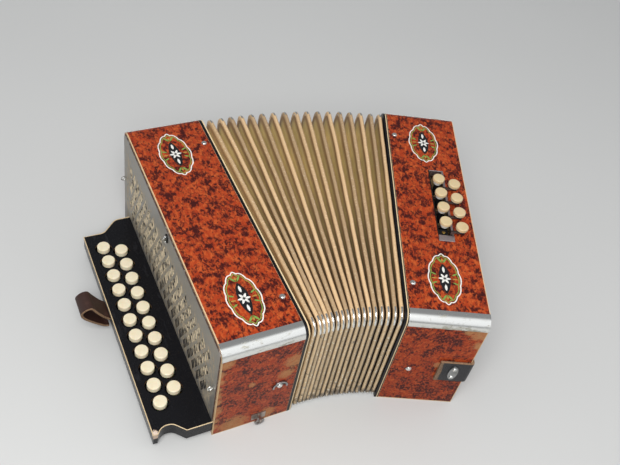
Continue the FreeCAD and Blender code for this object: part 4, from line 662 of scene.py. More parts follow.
def trim_finish():
    """Chrome of the corner strips, stained towards one end; towards the lower edge the stain
    gathers as painted shade, for the darker reflection there.
    """
    def build(tree):
        place = place_on(tree)
        axes = place.parts()
        smudge = place.clouds(70, 4, 0.6)
        grain = (place * (0.3, 1, 1)).clouds(500, 3, 0.7)
        right = axes[0].rise(CASING_HIGH.x + 90 * MM, CASING_HIGH.x + 200 * MM)
        # more stain towards the lower edge: painted shade for the darker reflection low on the
        # strip
        low_edge = axes[2].rise(FRONT - 6 * MM, FRONT - 11 * MM)
        stain = (smudge * 0.6 + grain * 0.4 + low_edge * 0.1 + right * 0.08).rise(0.56, 0.68)
        shade = (stain * 0.7).blend(colours().chrome, (0.3, 0.27, 0.17, 1))
        pits = grain.rise(0.66, 0.72) * right
        shade = pits.blend(shade, (0.12, 0.08, 0.04, 1))
        return {"Base Color": shade, "Roughness": 0.2 + stain * 0.2 + pits * 0.3,
                "relief": (smudge * 0.5 + grain * 0.2, 0.00006)}
    return finish("trim_chrome", build, {"Metallic": 1.0})


def steel_finish():
    return metal_finish("steel", colours().steel, 0.32, 0.5)


def dark_steel_finish():
    return metal_finish("dark_steel", scaled(colours().steel, 0.16), 0.5, 0.3)


def brass_finish():
    return metal_finish("brass", colours().brass, 0.28, 0.5)


def felt_finish():
    return plain_finish("pallet_leather", colours().felt, 0.85)


# ---------------------------------------------------------------- mesh building

class Piece:
    """Gathers the faces of one piece, each with its own finish, and makes an object of them."""

    def __init__(self):
        self.mesh = bmesh.new()
        self.finishes = []

    def skin(self, rows, material, closed=True, capped=True, looped=False):
        """Joins rows of as many points each; a closed row is a ring, and looped rows meet again."""
        if material not in self.finishes:
            self.finishes.append(material)
        index = self.finishes.index(material)
        grid = [[self.mesh.verts.new(point) for point in row] for row in rows]
        count = len(grid[0])
        pairs = list(zip(grid, grid[1:]))
        if looped:
            pairs.append((grid[-1], grid[0]))
        made = []
        for near, far in pairs:
            for step in range(count if closed else count - 1):
                following = (step + 1) % count
                made.append((near[step], near[following], far[following], far[step]))
        if capped and not looped:
            made.append(grid[0][::-1])
            made.append(grid[-1])
        for corners in made:
            face = self.mesh.faces.new(corners)
            face.material_index = index
            face.smooth = True
        return grid

    def lathe(self, centre, profile, material, axis=UP, segments=32):
        """Turns a profile of (radius, height) about an axis through the centre."""
        turn = Vector((0, 0, 1)).rotation_difference(Vector(axis)).to_matrix()
        rows = []
        for radius, height in profile:
            ring = [Vector((radius * math.cos(angle), radius * math.sin(angle), height))
                    for angle in around(segments)]
            rows.append([Vector(centre) + turn @ point for point in ring])
        self.skin(rows, material)

    def prism(self, outline, shift, material):
        """An outline and its copy moved by shift, joined by sides."""
        points = [Vector(point) for point in outline]
        self.skin([points, [point + Vector(shift) for point in points]], material)

    def block(self, low, high, material):
        low, high = Vector(low), Vector(high)
        outline = [low, (high.x, low.y, low.z), (high.x, high.y, low.z), (low.x, high.y, low.z)]
        self.prism(outline, (0, 0, high.z - low.z), material)

    def sweep(self, path, section, flat, material, looped=False):
        """Runs a section of (out, along flat) points down a path; flat stays square to the path."""
        rows = []
        count = len(path)
        for step, point in enumerate(path):
            ahead = path[(step + 1) % count] if looped else path[min(step + 1, count - 1)]
            behind = path[step - 1] if looped or step else path[0]
            out = (ahead - behind).cross(flat).normalized()
            rows.append([point + out * off + flat * across for off, across in section])
        self.skin(rows, material, looped=looped)

    def mesh_data(self, name, angle=38):
        """Mesh data of the faces; edges that turn by more than the angle stay sharp."""
        bmesh.ops.recalc_face_normals(self.mesh, faces=self.mesh.faces)
        data = bpy.data.meshes.new(name)
        self.mesh.to_mesh(data)
        self.mesh.free()
        data.set_sharp_from_angle(angle=math.radians(angle))
        for material in self.finishes:
            data.materials.append(material)
        return data

    def make(self, name, body, place=None, bevel=0.0, replaced=(), angle=38):
        """Turns the faces into an object that rides on a body."""
        data = self.mesh_data(name, angle)
        return placed(name, data, body, place, bevel, replaced)


def placed(name, data, body, place=None, bevel=0.0, replaced=()):
    """Puts a mesh in the scene as a piece that rides on a body and may stand for CAD nodes."""
    if place == BASS:
        data.transform(place)
        place = None
    piece = bpy.data.objects.new(name, data)
    bpy.context.scene.collection.objects.link(piece)
    piece.matrix_world = place or Matrix()
    if bevel:
        edge = piece.modifiers.new("edge", "BEVEL")
        edge.width = bevel
        edge.segments = 2
        edge.limit_method = "ANGLE"
        edge.angle_limit = math.radians(50)
        edge.harden_normals = True
    if body:
        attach(piece, body)
    if replaced:
        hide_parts(*replaced)
    return piece


def around(count):
    """Angles that go once round."""
    return [2 * math.pi * step / count for step in range(count)]


def arc(centre, radius, start, end, steps):
    """Points (across, up) on an arc, both ends included; angles in degrees."""
    turns = [math.radians(start + (end - start) * step / steps) for step in range(steps + 1)]
    return [(centre[0] + radius * math.cos(turn), centre[1] + radius * math.sin(turn))
            for turn in turns]


def rounded_rectangle(half_width, half_height, radius, steps=3):
    """Outline (across, up) of a rectangle with rounded corners."""
    points = []
    for right, top, start in ((1, 1, 0), (-1, 1, 90), (-1, -1, 180), (1, -1, 270)):
        middle = (right * (half_width - radius), top * (half_height - radius))
        points += arc(middle, radius, start, start + 90, steps)
    return points


def circle(radius, count=8):
    return [(radius * math.cos(angle), radius * math.sin(angle)) for angle in around(count)]


def smooth_path(points, steps):
    """A smooth open line through the points, with so many steps from each to the next."""
    points = [Vector(point) for point in points]
    ends = [points[0] * 2 - points[1]] + points + [points[-1] * 2 - points[-2]]
    path = []
    for before, near, far, after in zip(ends, ends[1:], ends[2:], ends[3:]):
        for step in range(steps):
            share = step / steps
            path.append(0.5 * (2 * near + (far - before) * share
                               + (2 * before - 5 * near + 4 * far - after) * share ** 2
                               + (3 * near - before - 3 * far + after) * share ** 3))
    path.append(points[-1])
    return path


def dress(node, material):
    """Gives a CAD node a finish."""
    for holder in frame["nodes"][node].material_slots:
        holder.material = material


# ---------------------------------------------------------------- casings and plain CAD nodes

def dress_casings():
    low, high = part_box("treble_casing")
    lines = [(0, low.x, 0.9 * MM), (0, high.x, 0.1 * MM), (2, low.z, 1.0 * MM)]
    worn = [((across, low.y, up * MM), radius * MM) for across, up, radius in (
        (high.x - 4 * MM, 90, 14), (high.x - 10 * MM, 72, 9), (low.x + 20 * MM, 8, 18),
        (low.x + 52 * MM, 10, 12), (low.x + 5 * MM, 115, 8), (low.x + 2 * MM, 40, 7),
        (low.x + 32 * MM, 70, 5))]
    # small rubbed spots along the lower face's edge, beside the grille
    worn += [((low.x, low.y, (12 + 11 * step) * MM), (6.6 + math.sin(step * 1.9)) * MM)
             for step in range(9)]
    dress("treble_casing", burl_finish("treble_burl", False, lines, worn))
    low, high = bass_box("bass_casing")
    lines = [(0, low.x, 0.1 * MM), (0, high.x, 0.6 * MM), (2, low.z, 1.0 * MM)]
    worn = [((high.x - inward * MM, low.y, up * MM), radius * MM) for inward, up, radius in (
        (4, 117, 14), (16, 119, 7), (0, 98, 9), (30, 64, 6))]
    dress("bass_casing", burl_finish("bass_burl", True, lines, worn))
    low, high = bass_box("bass_end_cover")
    edge = 2.2 * MM
    lines = [(1, low.y, edge), (1, high.y, edge), (2, low.z, edge), (2, high.z, edge)]
    dress("bass_end_cover", burl_finish("cover_burl", True, lines, [], cover=True))


def dress_metal():
    for node in ("treble_key_axle", "bass_key_axle", "strap_ring", "hand_strap_plates"):
        dress(node, steel_finish())
    dress("strap_ring_bracket", metal_finish("bracket_metal", (0.42, 0.36, 0.32, 1), 0.3, 0.7, 180))
    dress("treble_key_springs", brass_finish())


def build_corner_trims():
    """Bent chrome strips. The upper ones start a little way round the rounded edge."""
    skin, seat, lap, lead, steps = 0.6 * MM, 0.02 * MM, 1 * MM, 34, 12
    for name, place, box in (("treble", Matrix(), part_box), ("bass", BASS, bass_box)):
        node = name + "_corner_trims"
        low, high = box(node)
        reach = HALF - min(abs(point.y) for point in node_points(node, place.inverted()))
        radius = reach - lap
        middle = (HALF - radius, FRONT - radius)
        piece = Piece()
        for sign, start in ((-1, 0), (1, lead)):
            outer, inner = [
                ([] if start else [(radius + off, -lap)])
                + arc((0, 0), radius + off, start, 90, steps) + [(-lap, radius + off)]
                for off in (skin, seat)]
            ring = [Vector((0, sign * (middle[0] + out), middle[1] + up))
                    for up, out in outer + inner[::-1]]
            piece.skin([[point + Vector((across, 0, 0)) for point in ring]
                        for across in (low.x, high.x)], trim_finish())
        piece.make(name + "_trims", name + "_end", place, sizes().bevel / 2, [node])


def build_grille():
    """Sheet over the action, pierced by a diamond lattice of slots, two to each diamond."""
    low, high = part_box("treble_grille")
    step, ledge = grille_step(low)
    end_margin, slots_low, slots_high = 17 * MM, 18 * MM, 117 * MM
    lean, rise, foot = 6 * MM, 11.7 * MM, 2 * MM
    cuts_s = (0.0, 0.1, 0.46, 0.58, 0.88, 1.0)
    cuts_t = (0.0, 0.15, 0.85, 1.0)
    slot_rows, slot_column = (1, 3), 1
    first_layer, past_layer = -2, 14
    piece = Piece()
    piece.finishes.append(grille_finish())
    mesh = piece.mesh

    def at(s, t):
        """A place on the sheet, counted in diamonds along the lattice's two directions."""
        return Vector((low.x, lean * (t - s), rise * (s + t) + foot))

    reach = int(HALF / lean) + 6
    for layer in range(first_layer, past_layer):
        for aside in range(-reach, reach):
            if (layer + aside) % 2:
                continue
            s, t = (layer - aside) // 2, (layer + aside) // 2
            corners = [at(s, t), at(s + 1, t), at(s, t + 1), at(s + 1, t + 1)]
            pierced = all(abs(point.y) < HALF - end_margin and slots_low < point.z < slots_high
                          for point in corners)
            for row, (near, far) in enumerate(zip(cuts_s, cuts_s[1:])):
                for column, (left, right) in enumerate(zip(cuts_t, cuts_t[1:])):
                    if pierced and column == slot_column and row in slot_rows:
                        continue
                    mesh.faces.new([mesh.verts.new(at(s + a, t + b)) for a, b in (
                        (near, left), (far, left), (far, right), (near, right))])
    bmesh.ops.remove_doubles(mesh, verts=mesh.verts, dist=1e-6)

    def trim(point, normal, clear=True):
        """Cuts along a plane, and clears what lies beyond it."""
        bmesh.ops.bisect_plane(mesh, geom=mesh.verts[:] + mesh.edges[:] + mesh.faces[:],
                               dist=1e-7, plane_co=point, plane_no=normal, clear_outer=clear)

    for point, normal in ((high, (0, 1, 0)), (low, (0, -1, 0)), (high, (0, 0, 1)),
                          (low, (0, 0, -1))):
        trim(point, normal)
    trim((0, 0, ledge), (0, 0, 1), False)
    trim((0, step, 0), (0, 1, 0), False)
    away = [face for face in mesh.faces
            if face.calc_center_median().z < ledge and face.calc_center_median().y < step]
    bmesh.ops.delete(mesh, geom=away, context="FACES")
    radius = 8.2 * MM  # of the two front corners, cut round in steps of 18 degrees
    for side, edge in ((1, high.y), (-1, low.y)):
        centre = Vector((0, edge - side * radius, high.z - radius))
        for turn in range(9, 90, 18):
            out = Vector((0, side * math.cos(math.radians(turn)), math.sin(math.radians(turn))))
            trim(centre + out * radius, out)
    raised = bmesh.ops.extrude_face_region(mesh, geom=mesh.faces[:], use_keep_orig=True)
    bmesh.ops.translate(mesh, vec=(high.x - low.x, 0, 0), verts=[
        item for item in raised["geom"] if isinstance(item, bmesh.types.BMVert)])
    # cutting leaves the order of verts and faces to chance, so both are put in order by place
    middle = (low.x + high.x) / 2
    mesh.verts.sort(key=lambda vertex: order_number(vertex.co, middle))
    mesh.faces.sort(key=lambda face: order_number(face.calc_center_median(), middle))
    piece.make("grille_sheet", "treble_end", None, 0, ["treble_grille"], angle=30)


def order_number(point, middle):
    """One number for a place on a thin sheet, to a thousandth of a millimetre."""
    up, front = round(point.y / MM * 1000) + 10 ** 6, round(point.z / MM * 1000)
    layer = (point.x > middle + 0.1 * MM) - (point.x < middle - 0.1 * MM)
    return (front * 10 ** 7 + up) * 3 + layer


def build_grille_fixings():
    """Two small ring screws at the grille's ends, and the turn hook at its front edge."""
    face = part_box("treble_grille")[0].x
    wire, ring_radius, ring_inset, ring_front = 0.55 * MM, 2.3 * MM, 8 * MM, 71 * MM
    piece = Piece()
    for sign in (1, -1):
        middle = Vector((face - ring_radius - 0.6 * MM, sign * (HALF - ring_inset), ring_front))
        loop = [middle + Vector((across, 0, up)) for across, up in circle(ring_radius, 20)]
        piece.sweep(loop, circle(wire), Vector((0, 1, 0)), chrome_finish(), looped=True)
        piece.lathe((face - 0.7 * MM, middle.y, middle.z), [(1.5 * MM, 0), (1.3 * MM, 0.6 * MM)],
                    chrome_finish(), (1, 0, 0), 16)
    plate, base, half_height = face - 1.1 * MM, FRONT - 16 * MM, 4.5 * MM
    outline = rounded_rectangle(2.6 * MM, half_height, 1.2 * MM)
    piece.prism([(face, across, base + half_height + up) for across, up in outline],
                (plate - face, 0, 0), dark_steel_finish())
    # the hook rises out of the plate, bends down and turns aside
    hook = smooth_path([(plate - out * MM, aside * MM, base + up * MM) for out, aside, up in (
        (0, 0, 7), (1.6, 0, 6.6), (2.4, 0, 4), (1.4, 0, 1.6), (0.8, -2.2, 1.2))], 5)
    piece.sweep(hook, circle(0.75 * MM), Vector((0, 1, 0.05)).normalized(), chrome_finish())
    piece.make("grille_rings", "treble_end", None, 0, ["grille_fixings"])


def grille_step(low):
    """Corner of the step over the fingerboard: (place up the instrument, height of its ledge)."""
    points = node_points("treble_grille")
    step = min(point.y for point in points if point.z < low.z + 1 * MM)
    ledge = min(point.z for point in points if point.y < 0)
    return step, ledge


def dress_wood():
    for node in ("treble_soundboard", "bass_soundboard", "treble_reed_blocks", "bass_reed_block"):
        dress(node, wood_finish())
    dress("fingerboard_base", black_finish())
    dress("fingerboard", fingerboard_finish())
    dress("treble_bellows_frame", lacquer_finish("treble_frame_lacquer", [
        (0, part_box("treble_bellows_frame")[1].x, 1.1 * MM)]))
    dress("bass_bellows_frame", lacquer_finish("bass_frame_lacquer", [
        (0, bass_box("bass_casing")[0].x - 1.3 * MM, 0.35 * MM)], bass=True))


# ---------------------------------------------------------------- bellows

def fold_stations(shape):
    """Across one fold: (share of the fold, offset along the fan, depth from 0 on the ridge)."""
    turn = shape.ridge_round
    half = [(0.0, 0.0, 1.0), (0.0, 0.5 * turn, 0.965), (0.14, 0.4 * turn, 0.72),
            (0.3, 0.0, 0.42), (0.42, -0.4 * turn, 0.22), (0.5, -turn, 0.1),
            (0.5, -0.7 * turn, 0.026), (0.5, 0.0, 0.0)]
    return half + [(1 - share, -off, depth) for share, off, depth in half[-2:0:-1]]


def fold_share(place, up, front):
    """Share of the fan at a place counted in folds; old folds crowd and gape a little."""
    count = sizes().fold_count
    height, depth = up / HALF, max(0, front / FRONT)
    first, last = place, count - place
    crowd = (0.5 - 0.2 * height) * first * math.exp(1 - first)
    gape = 0.2 * last * math.exp(1 - last)
    bulge = (0.2 + 0.46 * height - 0.24 * height ** 2) * depth ** 2
    bulge *= math.sin(math.pi * (place / count) ** 2)
    return (place + crowd + gape + bulge) / count


def ring_outline(inset, front_radius, back_radius):
    """One ring of the folds as (up, front) points; every ring has as many."""
    top, bottom = FRONT - inset, inset
    long_side, short_side = 22, 9
    corners = []
    for right, front, start, radius, steps in (
            (1, 1, 0, front_radius, 7), (-1, 1, 90, front_radius, 7),
            (-1, -1, 180, back_radius, 5), (1, -1, 270, back_radius, 5)):
        middle = (right * (HALF - inset - radius),
                  top - radius if front > 0 else bottom + radius)
        corners.append(arc(middle, radius, start, start + 90, steps))
    ring = []
    for corner, following, pieces in zip(corners, corners[1:] + corners[:1],
                                         (long_side, short_side) * 2):
        near, far = corner[-1], following[0]
        ring += corner[:-1]
        ring += [(near[0] + (far[0] - near[0]) * part / pieces,
                  near[1] + (far[1] - near[1]) * part / pieces) for part in range(pieces)]
    return ring


def build_bellows_cloth():
    shape = sizes()
    ridge = ring_outline(shape.ridge_inset, shape.ridge_corner, shape.ridge_back_corner)
    valley = ring_outline(shape.ridge_inset + shape.fold_depth, shape.valley_corner,
                          shape.valley_corner)
    stations = fold_stations(shape)
    rows, depths, shares, lower, tones, shut, far = [], [], [], [], [], [], []
    last = [(1.0, 0.0, 1.0)]
    for fold in range(shape.fold_count):
        for place, off, depth in stations + (last if fold == shape.fold_count - 1 else []):
            row = []
            for (up_ridge, front_ridge), (up_valley, front_valley) in zip(ridge, valley):
                up = up_ridge + (up_valley - up_ridge) * depth
                front = front_ridge + (front_valley - front_ridge) * depth
                share = fold_share(fold + place, up_ridge, front_ridge)
                point = fan_point(share, off, up, front)
                # a fixed noise, so that the folds come out alike on every run
                wander = noise.noise(point * 45 + Vector((fold * 3.1, 0, 0)))
                row.append(fan_point(share, off + wander * 0.5 * MM, up, front))
                depths.append(depth)
                # far_side marks each ridge's side away from the key lamp, where painted shade goes
                far.append(0.5 + 0.5 * off / shape.ridge_round if place == 0.5
                           else float(place > 0.5))
                shares.append(share)
                # ridge_tone sets each ridge's tape brightness, a painted highlight on alternate
                # ridges
                tones.append(0.5 + 0.5 * math.sin(fold * 2.4))
                # shut weights the painted valley shade, rising towards the lower face
                shut.append(min(1, max(0, 0.25 - up / HALF) / 1.1) ** 1.5)
                lower.append(1.0 if up < -HALF + shape.ridge_inset + 0.02 and abs(
                    up + HALF) < 0.03 and front < FRONT - shape.ridge_corner * 0.6 else 0.0)
            rows.append(row)
    piece = Piece()
    piece.skin(rows, bellows_finish(), capped=False)
    made = piece.make("bellows_cloth", None, replaced=["bellows_folds"], angle=60)
    for name, values in (("fold_depth", depths), ("lower_face", lower), ("ridge_tone", tones),
                         ("shut", shut), ("far_side", far)):
        made.data.attributes.new(name, "FLOAT", "POINT").data.foreach_set("value", values)
    follow_fan(made)


def follow_fan(piece):
    """Bakes the piece's placement into its mesh; the two fan points it works out are not used."""
    fan_point(0, 0, 0, FRONT / 2)
    fan_point(1, 0, 0, FRONT / 2)
    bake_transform(piece)


def build_bellows_caps():
    """Bent metal over the four corners of every ridge."""
    shape = sizes()
    half = shape.cap_half
    section = [(-half, -3.0), (-0.62 * half, -0.7), (-0.28 * half, 0.25), (0.0, 0.42),
               (0.28 * half, 0.25), (0.62 * half, -0.7), (half, -3.0), (0.0, -2.2)]
    piece = Piece()
    shares = []
    for fold in range(shape.fold_count):
        for right, front in ((1, 1), (-1, 1), (-1, -1), (1, -1)):
            rows = []
            for up, height, out_up, out_front in cap_path(shape, right, front):
                share = fold_share(fold + 0.5, up, height)
                rows.append([fan_point(share, along, up + out_up * lift * MM,
                                       height + out_front * lift * MM)
                             for along, lift in section])
                shares += [share] * len(section)
            piece.skin(rows, chrome_finish())
    made = piece.make("bellows_caps", None, replaced=["bellows_corners"], angle=50)
    follow_fan(made)


def cap_path(shape, right, front):
    """Line of a metal corner as (up, front, outward up, outward front), straight at its ends."""
    radius = shape.ridge_corner if front > 0 else shape.ridge_back_corner
    reach = shape.cap_reach if front > 0 else shape.cap_reach * 0.5
    edge_up = HALF - shape.ridge_inset
    edge_front = FRONT - shape.ridge_inset if front > 0 else shape.ridge_inset
    middle = (right * (edge_up - radius), edge_front - front * radius)
    start = {(1, 1): 0, (-1, 1): 90, (-1, -1): 180, (1, -1): 270}[(right, front)]
    line = [(middle[0] + radius * math.cos(turn), middle[1] + radius * math.sin(turn),
             math.cos(turn), math.sin(turn))
            for turn in (math.radians(start + 90 * step / 7) for step in range(8))]
    first, last = line[0], line[-1]
    before = (first[0] + first[3] * reach, first[1] - first[2] * reach, first[2], first[3])
    after = (last[0] - last[3] * reach, last[1] + last[2] * reach, last[2], last[3])
    return [before] + line + [after]


# ---------------------------------------------------------------- treble keys and fingerboard

def button_profile(radius, low, high, rounding):
    """Rounded button: (radius, height) from the underside up."""
    rim = arc((radius - rounding, high - rounding), rounding, 0, 90, 5)
    return [(radius * 0.5, low), (radius - 0.4 * MM, low), (radius, low + 0.4 * MM)] + rim + [
        (radius * 0.6, high + 0.06 * MM), (radius * 0.2, high + 0.09 * MM)]


def build_treble_key(row_name, node):
    """One key of a row, drawn with its lever at Y = 0."""
    low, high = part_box(node)
    axle = Vector(joint(node + "_press")["pos_m"])
    radius = button_radius(node)
    centre = Vector((low.x + radius, 0, 0))
    button_rise, button_height = 3.6 * MM, 5.8 * MM
    stem, arm, blade, boss_radius = 2.5 * MM, 1.75 * MM, 1.5 * MM, 3.9 * MM
    facing_skin, pallet_skin, pallet_length = 1.7 * MM, 4.5 * MM, 26 * MM
    post_breadth, post_drop = 3.5 * MM, 18 * MM
    button_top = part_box("fingerboard")[1].z + button_rise
    shoulder = button_top - button_height
    piece = Piece()
    piece.lathe(centre, button_profile(radius, shoulder, button_top, sizes().button_round),
                ivory_finish("button_cream", colours().button), segments=40)
    piece.block((centre.x - stem, -stem, axle.z + arm), (centre.x + stem, stem, shoulder),
                wood_finish())
    pallet_face = high.x - facing_skin
    pallet_back = pallet_face - pallet_skin
    post, tip = pallet_back - post_breadth, high.z - post_drop
    boss = arc((axle.x, axle.z), boss_radius, 180, 355, 10)
    outline = [(centre.x - stem, axle.z - arm)] + boss + [
        (pallet_back, axle.z - boss_radius + 1 * MM), (pallet_back, tip), (post, tip),
        (post, axle.z + boss_radius), (axle.x, axle.z + boss_radius),
        (axle.x - 6 * MM, axle.z + arm), (centre.x - stem, axle.z + arm)]
    piece.prism([(across, -blade, up) for across, up in outline], (0, 2 * blade, 0),
                dark_steel_finish())
    half, foot = (high.y - low.y) / 2, high.z - pallet_length
    piece.block((pallet_back, -half, foot), (pallet_face, half, high.z), wood_finish())
    piece.block((pallet_face, -half, foot), (high.x, half, high.z), felt_finish())
    return piece.mesh_data(row_name)


def button_radius(node):
    """Half the breadth of a key's outer end, which is its button."""
    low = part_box(node)[0]
    outer = [point.y for point in node_points(node) if point.x < low.x + 12 * MM]
    return (max(outer) - min(outer)) / 2


def build_treble_keys():
    rows = {1: build_treble_key("outer_key", "treble_key_01"),
            0: build_treble_key("inner_key", "treble_key_02")}
    for number in range(1, 22):
        node = "treble_key_%02d" % number
        height = Matrix.Translation((0, joint(node + "_press")["pos_m"][1], 0))
        placed("key_%02d" % number, rows[number % 2], node, height, sizes().bevel, [node])


def top_outline(node):
    """Outer edge of a CAD node's highest face, as one ring of points."""
    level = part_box(node)[1].z
    mesh = bmesh.new()
    mesh.from_mesh(frame["nodes"][node].data)
    bmesh.ops.remove_doubles(mesh, verts=mesh.verts, dist=1e-5)
    links = {}
    for edge in mesh.edges:
        if all(abs(vertex.co.z - level) < 1e-5 for vertex in edge.verts):
            upright = [face for face in edge.link_faces if abs(face.normal.z) < 0.5]
            if len(upright) == 1 and len(edge.link_faces) == 2:
                for vertex in edge.verts:
                    links.setdefault(vertex, []).append(edge.other_vert(vertex))
    start = min(links, key=lambda vertex: (vertex.co.x, vertex.co.y))
    ring, here, before = [start], links[start][0], start
    while here is not start:
        ring.append(here)
        onward = [other for other in links[here] if other is not before]
        before, here = here, onward[0]
    points = [vertex.co.copy() for vertex in ring]
    mesh.free()
    return points


def build_fingerboard_binding():
    """Pale binding along the playing face's edge, left out where it meets the casing."""
    points = top_outline("fingerboard")
    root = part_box("fingerboard")[1].x
    while abs(points[0].x - root) > 1e-5 or abs(points[-1].x - root) > 1e-5:
        points.append(points.pop(0))
    path = [point for number, point in enumerate(points)
            if not number or (point - points[number - 1]).length > 0.2 * MM]
    piece = Piece()
    piece.sweep(path, circle(sizes().binding), UP,
                plain_finish("binding", colours().cream, 0.4))
    piece.make("fingerboard_binding", "treble_end")


# ---------------------------------------------------------------- bass keys and their slot

def build_bass_keys():
    """Eight keys: the left column's buttons stand on their levers, the right one's on cranks."""
    cream = ivory_finish("bass_button_cream", colours().bass_button)
    pale = plain_finish("stem_white", (0.8, 0.79, 0.74, 1), 0.4)
    crank_metal = metal_finish("crank_metal", (0.14, 0.1, 0.09, 1), 0.45, 0.3)
    radius, inset, height = 6.05 * MM, 6.5 * MM, 3.6 * MM
    arm, breadth, stem, boss_radius, swell = 2 * MM, 1.5 * MM, 2.5 * MM, 3.5 * MM, 7 * MM
    crank_low, crank_skin, riser = FRONT + 3.7 * MM, 1.6 * MM, 52.2 * MM
    left_pallet, right_pallet, pallet_top = 39 * MM, 56 * MM, FRONT - 24.3 * MM
    side, facing_skin, rod = 6.5 * MM, 1.7 * MM, 1.25 * MM
    for number in range(1, 9):
        node = "bass_key_%d" % number
        low, high = bass_box(node)
        axle = BASS_BACK @ Vector(joint(node + "_press")["pos_m"])
        left = number <= 4
        lane, aside = axle.y, cap_centre(node)
        foot = (high.x - inset, aside, 0)
        under = high.z - height
        piece = Piece()
        piece.lathe(foot, button_profile(radius, under, high.z, sizes().cap_round), cream,
                    segments=36)
        piece.lathe(foot, [(4.6 * MM, under - 1.6 * MM), (5.2 * MM, under - 1.2 * MM),
                           (5.2 * MM, under)], pale, segments=24)
        if left:
            piece.lathe(foot, [(2.6 * MM, axle.z + arm), (2.6 * MM, under - 4 * MM)],
                        black_finish(), segments=20)
            piece.lathe(foot, [(3.6 * MM, under - 4.5 * MM), (3.9 * MM, under - 4 * MM),
                               (3.9 * MM, under)], pale, segments=24)
            end = [(foot[0] + stem, axle.z - arm), (foot[0] + stem, axle.z + arm)]
            pallet, lever_metal = left_pallet, black_finish()
        else:
            crank_high = crank_low + crank_skin
            end = [(riser + stem, axle.z - arm), (riser + stem, crank_low),
                   (foot[0] + stem, crank_low), (foot[0] + stem, crank_high),
                   (riser, crank_high), (riser, axle.z + arm)]
            pallet, lever_metal = right_pallet, crank_metal
            piece.lathe(foot, [(2.4 * MM, crank_low + 1.2 * MM), (2.4 * MM, under)], pale,
                        segments=20)
            neck_low, neck_high = sorted((lane, aside))
            piece.block((foot[0] - stem, neck_low - breadth, crank_low + 0.1 * MM),
                        (foot[0] + stem, neck_high + breadth, crank_high), crank_metal)
        boss = arc((axle.x, axle.z), boss_radius, 170, -10, 10)
        outline = [(axle.x - boss_radius, axle.z - boss_radius)] + boss + [
            (axle.x + swell, axle.z + arm)] + end[::-1] + [
            (axle.x + swell, axle.z - arm), (axle.x + boss_radius, axle.z - boss_radius)]
        piece.prism([(across, lane - breadth, up) for across, up in outline],
                    (0, 2 * breadth, 0), lever_metal)
        piece.block((pallet - rod, lane - breadth, pallet_top),
                    (pallet + rod, lane + breadth, axle.z - arm), black_finish())
        for bottom, top, material in ((pallet_top - facing_skin, pallet_top, felt_finish()),
                                      (low.z, pallet_top - facing_skin, wood_finish())):
            piece.block((pallet - side, lane - side, bottom),
                        (pallet + side, lane + side, top), material)
        piece.make("bass_button_%d" % number, node, BASS, sizes().bevel, [node])


def cap_centre(node):
    """Height of a bass button's middle above the centre line, from its highest points."""
    top = bass_box(node)[1].z
    heights = [point.y for point in node_points(node, BASS_BACK) if point.z > top - 0.1 * MM]
    return (min(heights) + max(heights)) / 2


def build_bass_slot():
    """Bent sheet metal round the key slot, its black end block and the block's screw."""
    low, high = bass_box("bass_key_channel")
    grey = metal_finish("slot_metal", (0.5, 0.42, 0.42, 1), 0.45, 0.4)
    skin, ledge = 1 * MM, 2.4 * MM
    deep, rim, lip = FRONT - 7 * MM, FRONT + 0.5 * MM, low.y + 6.5 * MM
    block_breadth, block_length, block_rise = 8.7 * MM, 7.7 * MM, 0.75 * MM
    piece = Piece()
    piece.block((low.x, low.y, deep), (low.x + skin, high.y, rim), dark_steel_finish())
    piece.block((high.x - skin, low.y, deep), (high.x, high.y, rim), grey)
    piece.block((high.x - ledge, lip, FRONT - 0.3 * MM), (high.x, high.y, rim + 0.1 * MM), grey)
    piece.block((low.x, high.y - skin, deep), (high.x, high.y, rim), grey)
    slope = [(low.y, rim), (lip - skin, high.z), (lip, high.z), (lip, deep), (low.y, deep)]
    piece.prism([(low.x, across, up) for across, up in slope], (high.x - low.x, 0, 0), grey)
    piece.make("slot_lining", "bass_end", BASS, sizes().bevel, ["bass_key_channel"])
    block_end = Vector((low.x + skin + block_breadth, lip + block_length, FRONT + block_rise))
    block = Piece()
    block.block((low.x + skin, lip, deep), block_end, black_finish())
    block.make("slot_block", "bass_end", BASS, sizes().bevel * 2)
    screw = Piece()
    add_screw(screw, (low.x + skin + 4.4 * MM, lip + 3.9 * MM, block_end.z), UP, 1.7 * MM,
              brass_finish())
    screw.make("slot_screw", "bass_end", BASS)


def add_screw(piece, middle, axis, radius, material, dome=0.35):
    """Domed screw head; its slot is a thin dark bar across the dome, painted shade standing for the
    recess of a cut slot.
    """
    profile = [(radius, 0.0)] + [
        (radius * math.cos(turn), radius * dome * (0.25 + math.sin(turn)))
        for turn in (math.radians(12 * step) for step in range(7))] + [
        (radius * 0.12, radius * dome * 1.25)]
    piece.lathe(middle, profile, material, axis, 20)
    side = Vector(axis).orthogonal().normalized()
    flat = Vector(axis).cross(side)
    lift = Vector(middle) + Vector(axis) * radius * dome * 1.16
    ends = [side * radius * 0.7 * sign_a + flat * radius * 0.12 * sign_b
            for sign_a, sign_b in ((-1, -1), (1, -1), (1, 1), (-1, 1))]
    # the dark bar is painted shade for the slot's recess
    piece.prism([lift + end for end in ends], Vector(axis) * radius * 0.06,
                plain_finish("slot_shade", (0.03, 0.028, 0.025, 1), 0.6))


# ---------------------------------------------------------------- pins, studs and fittings

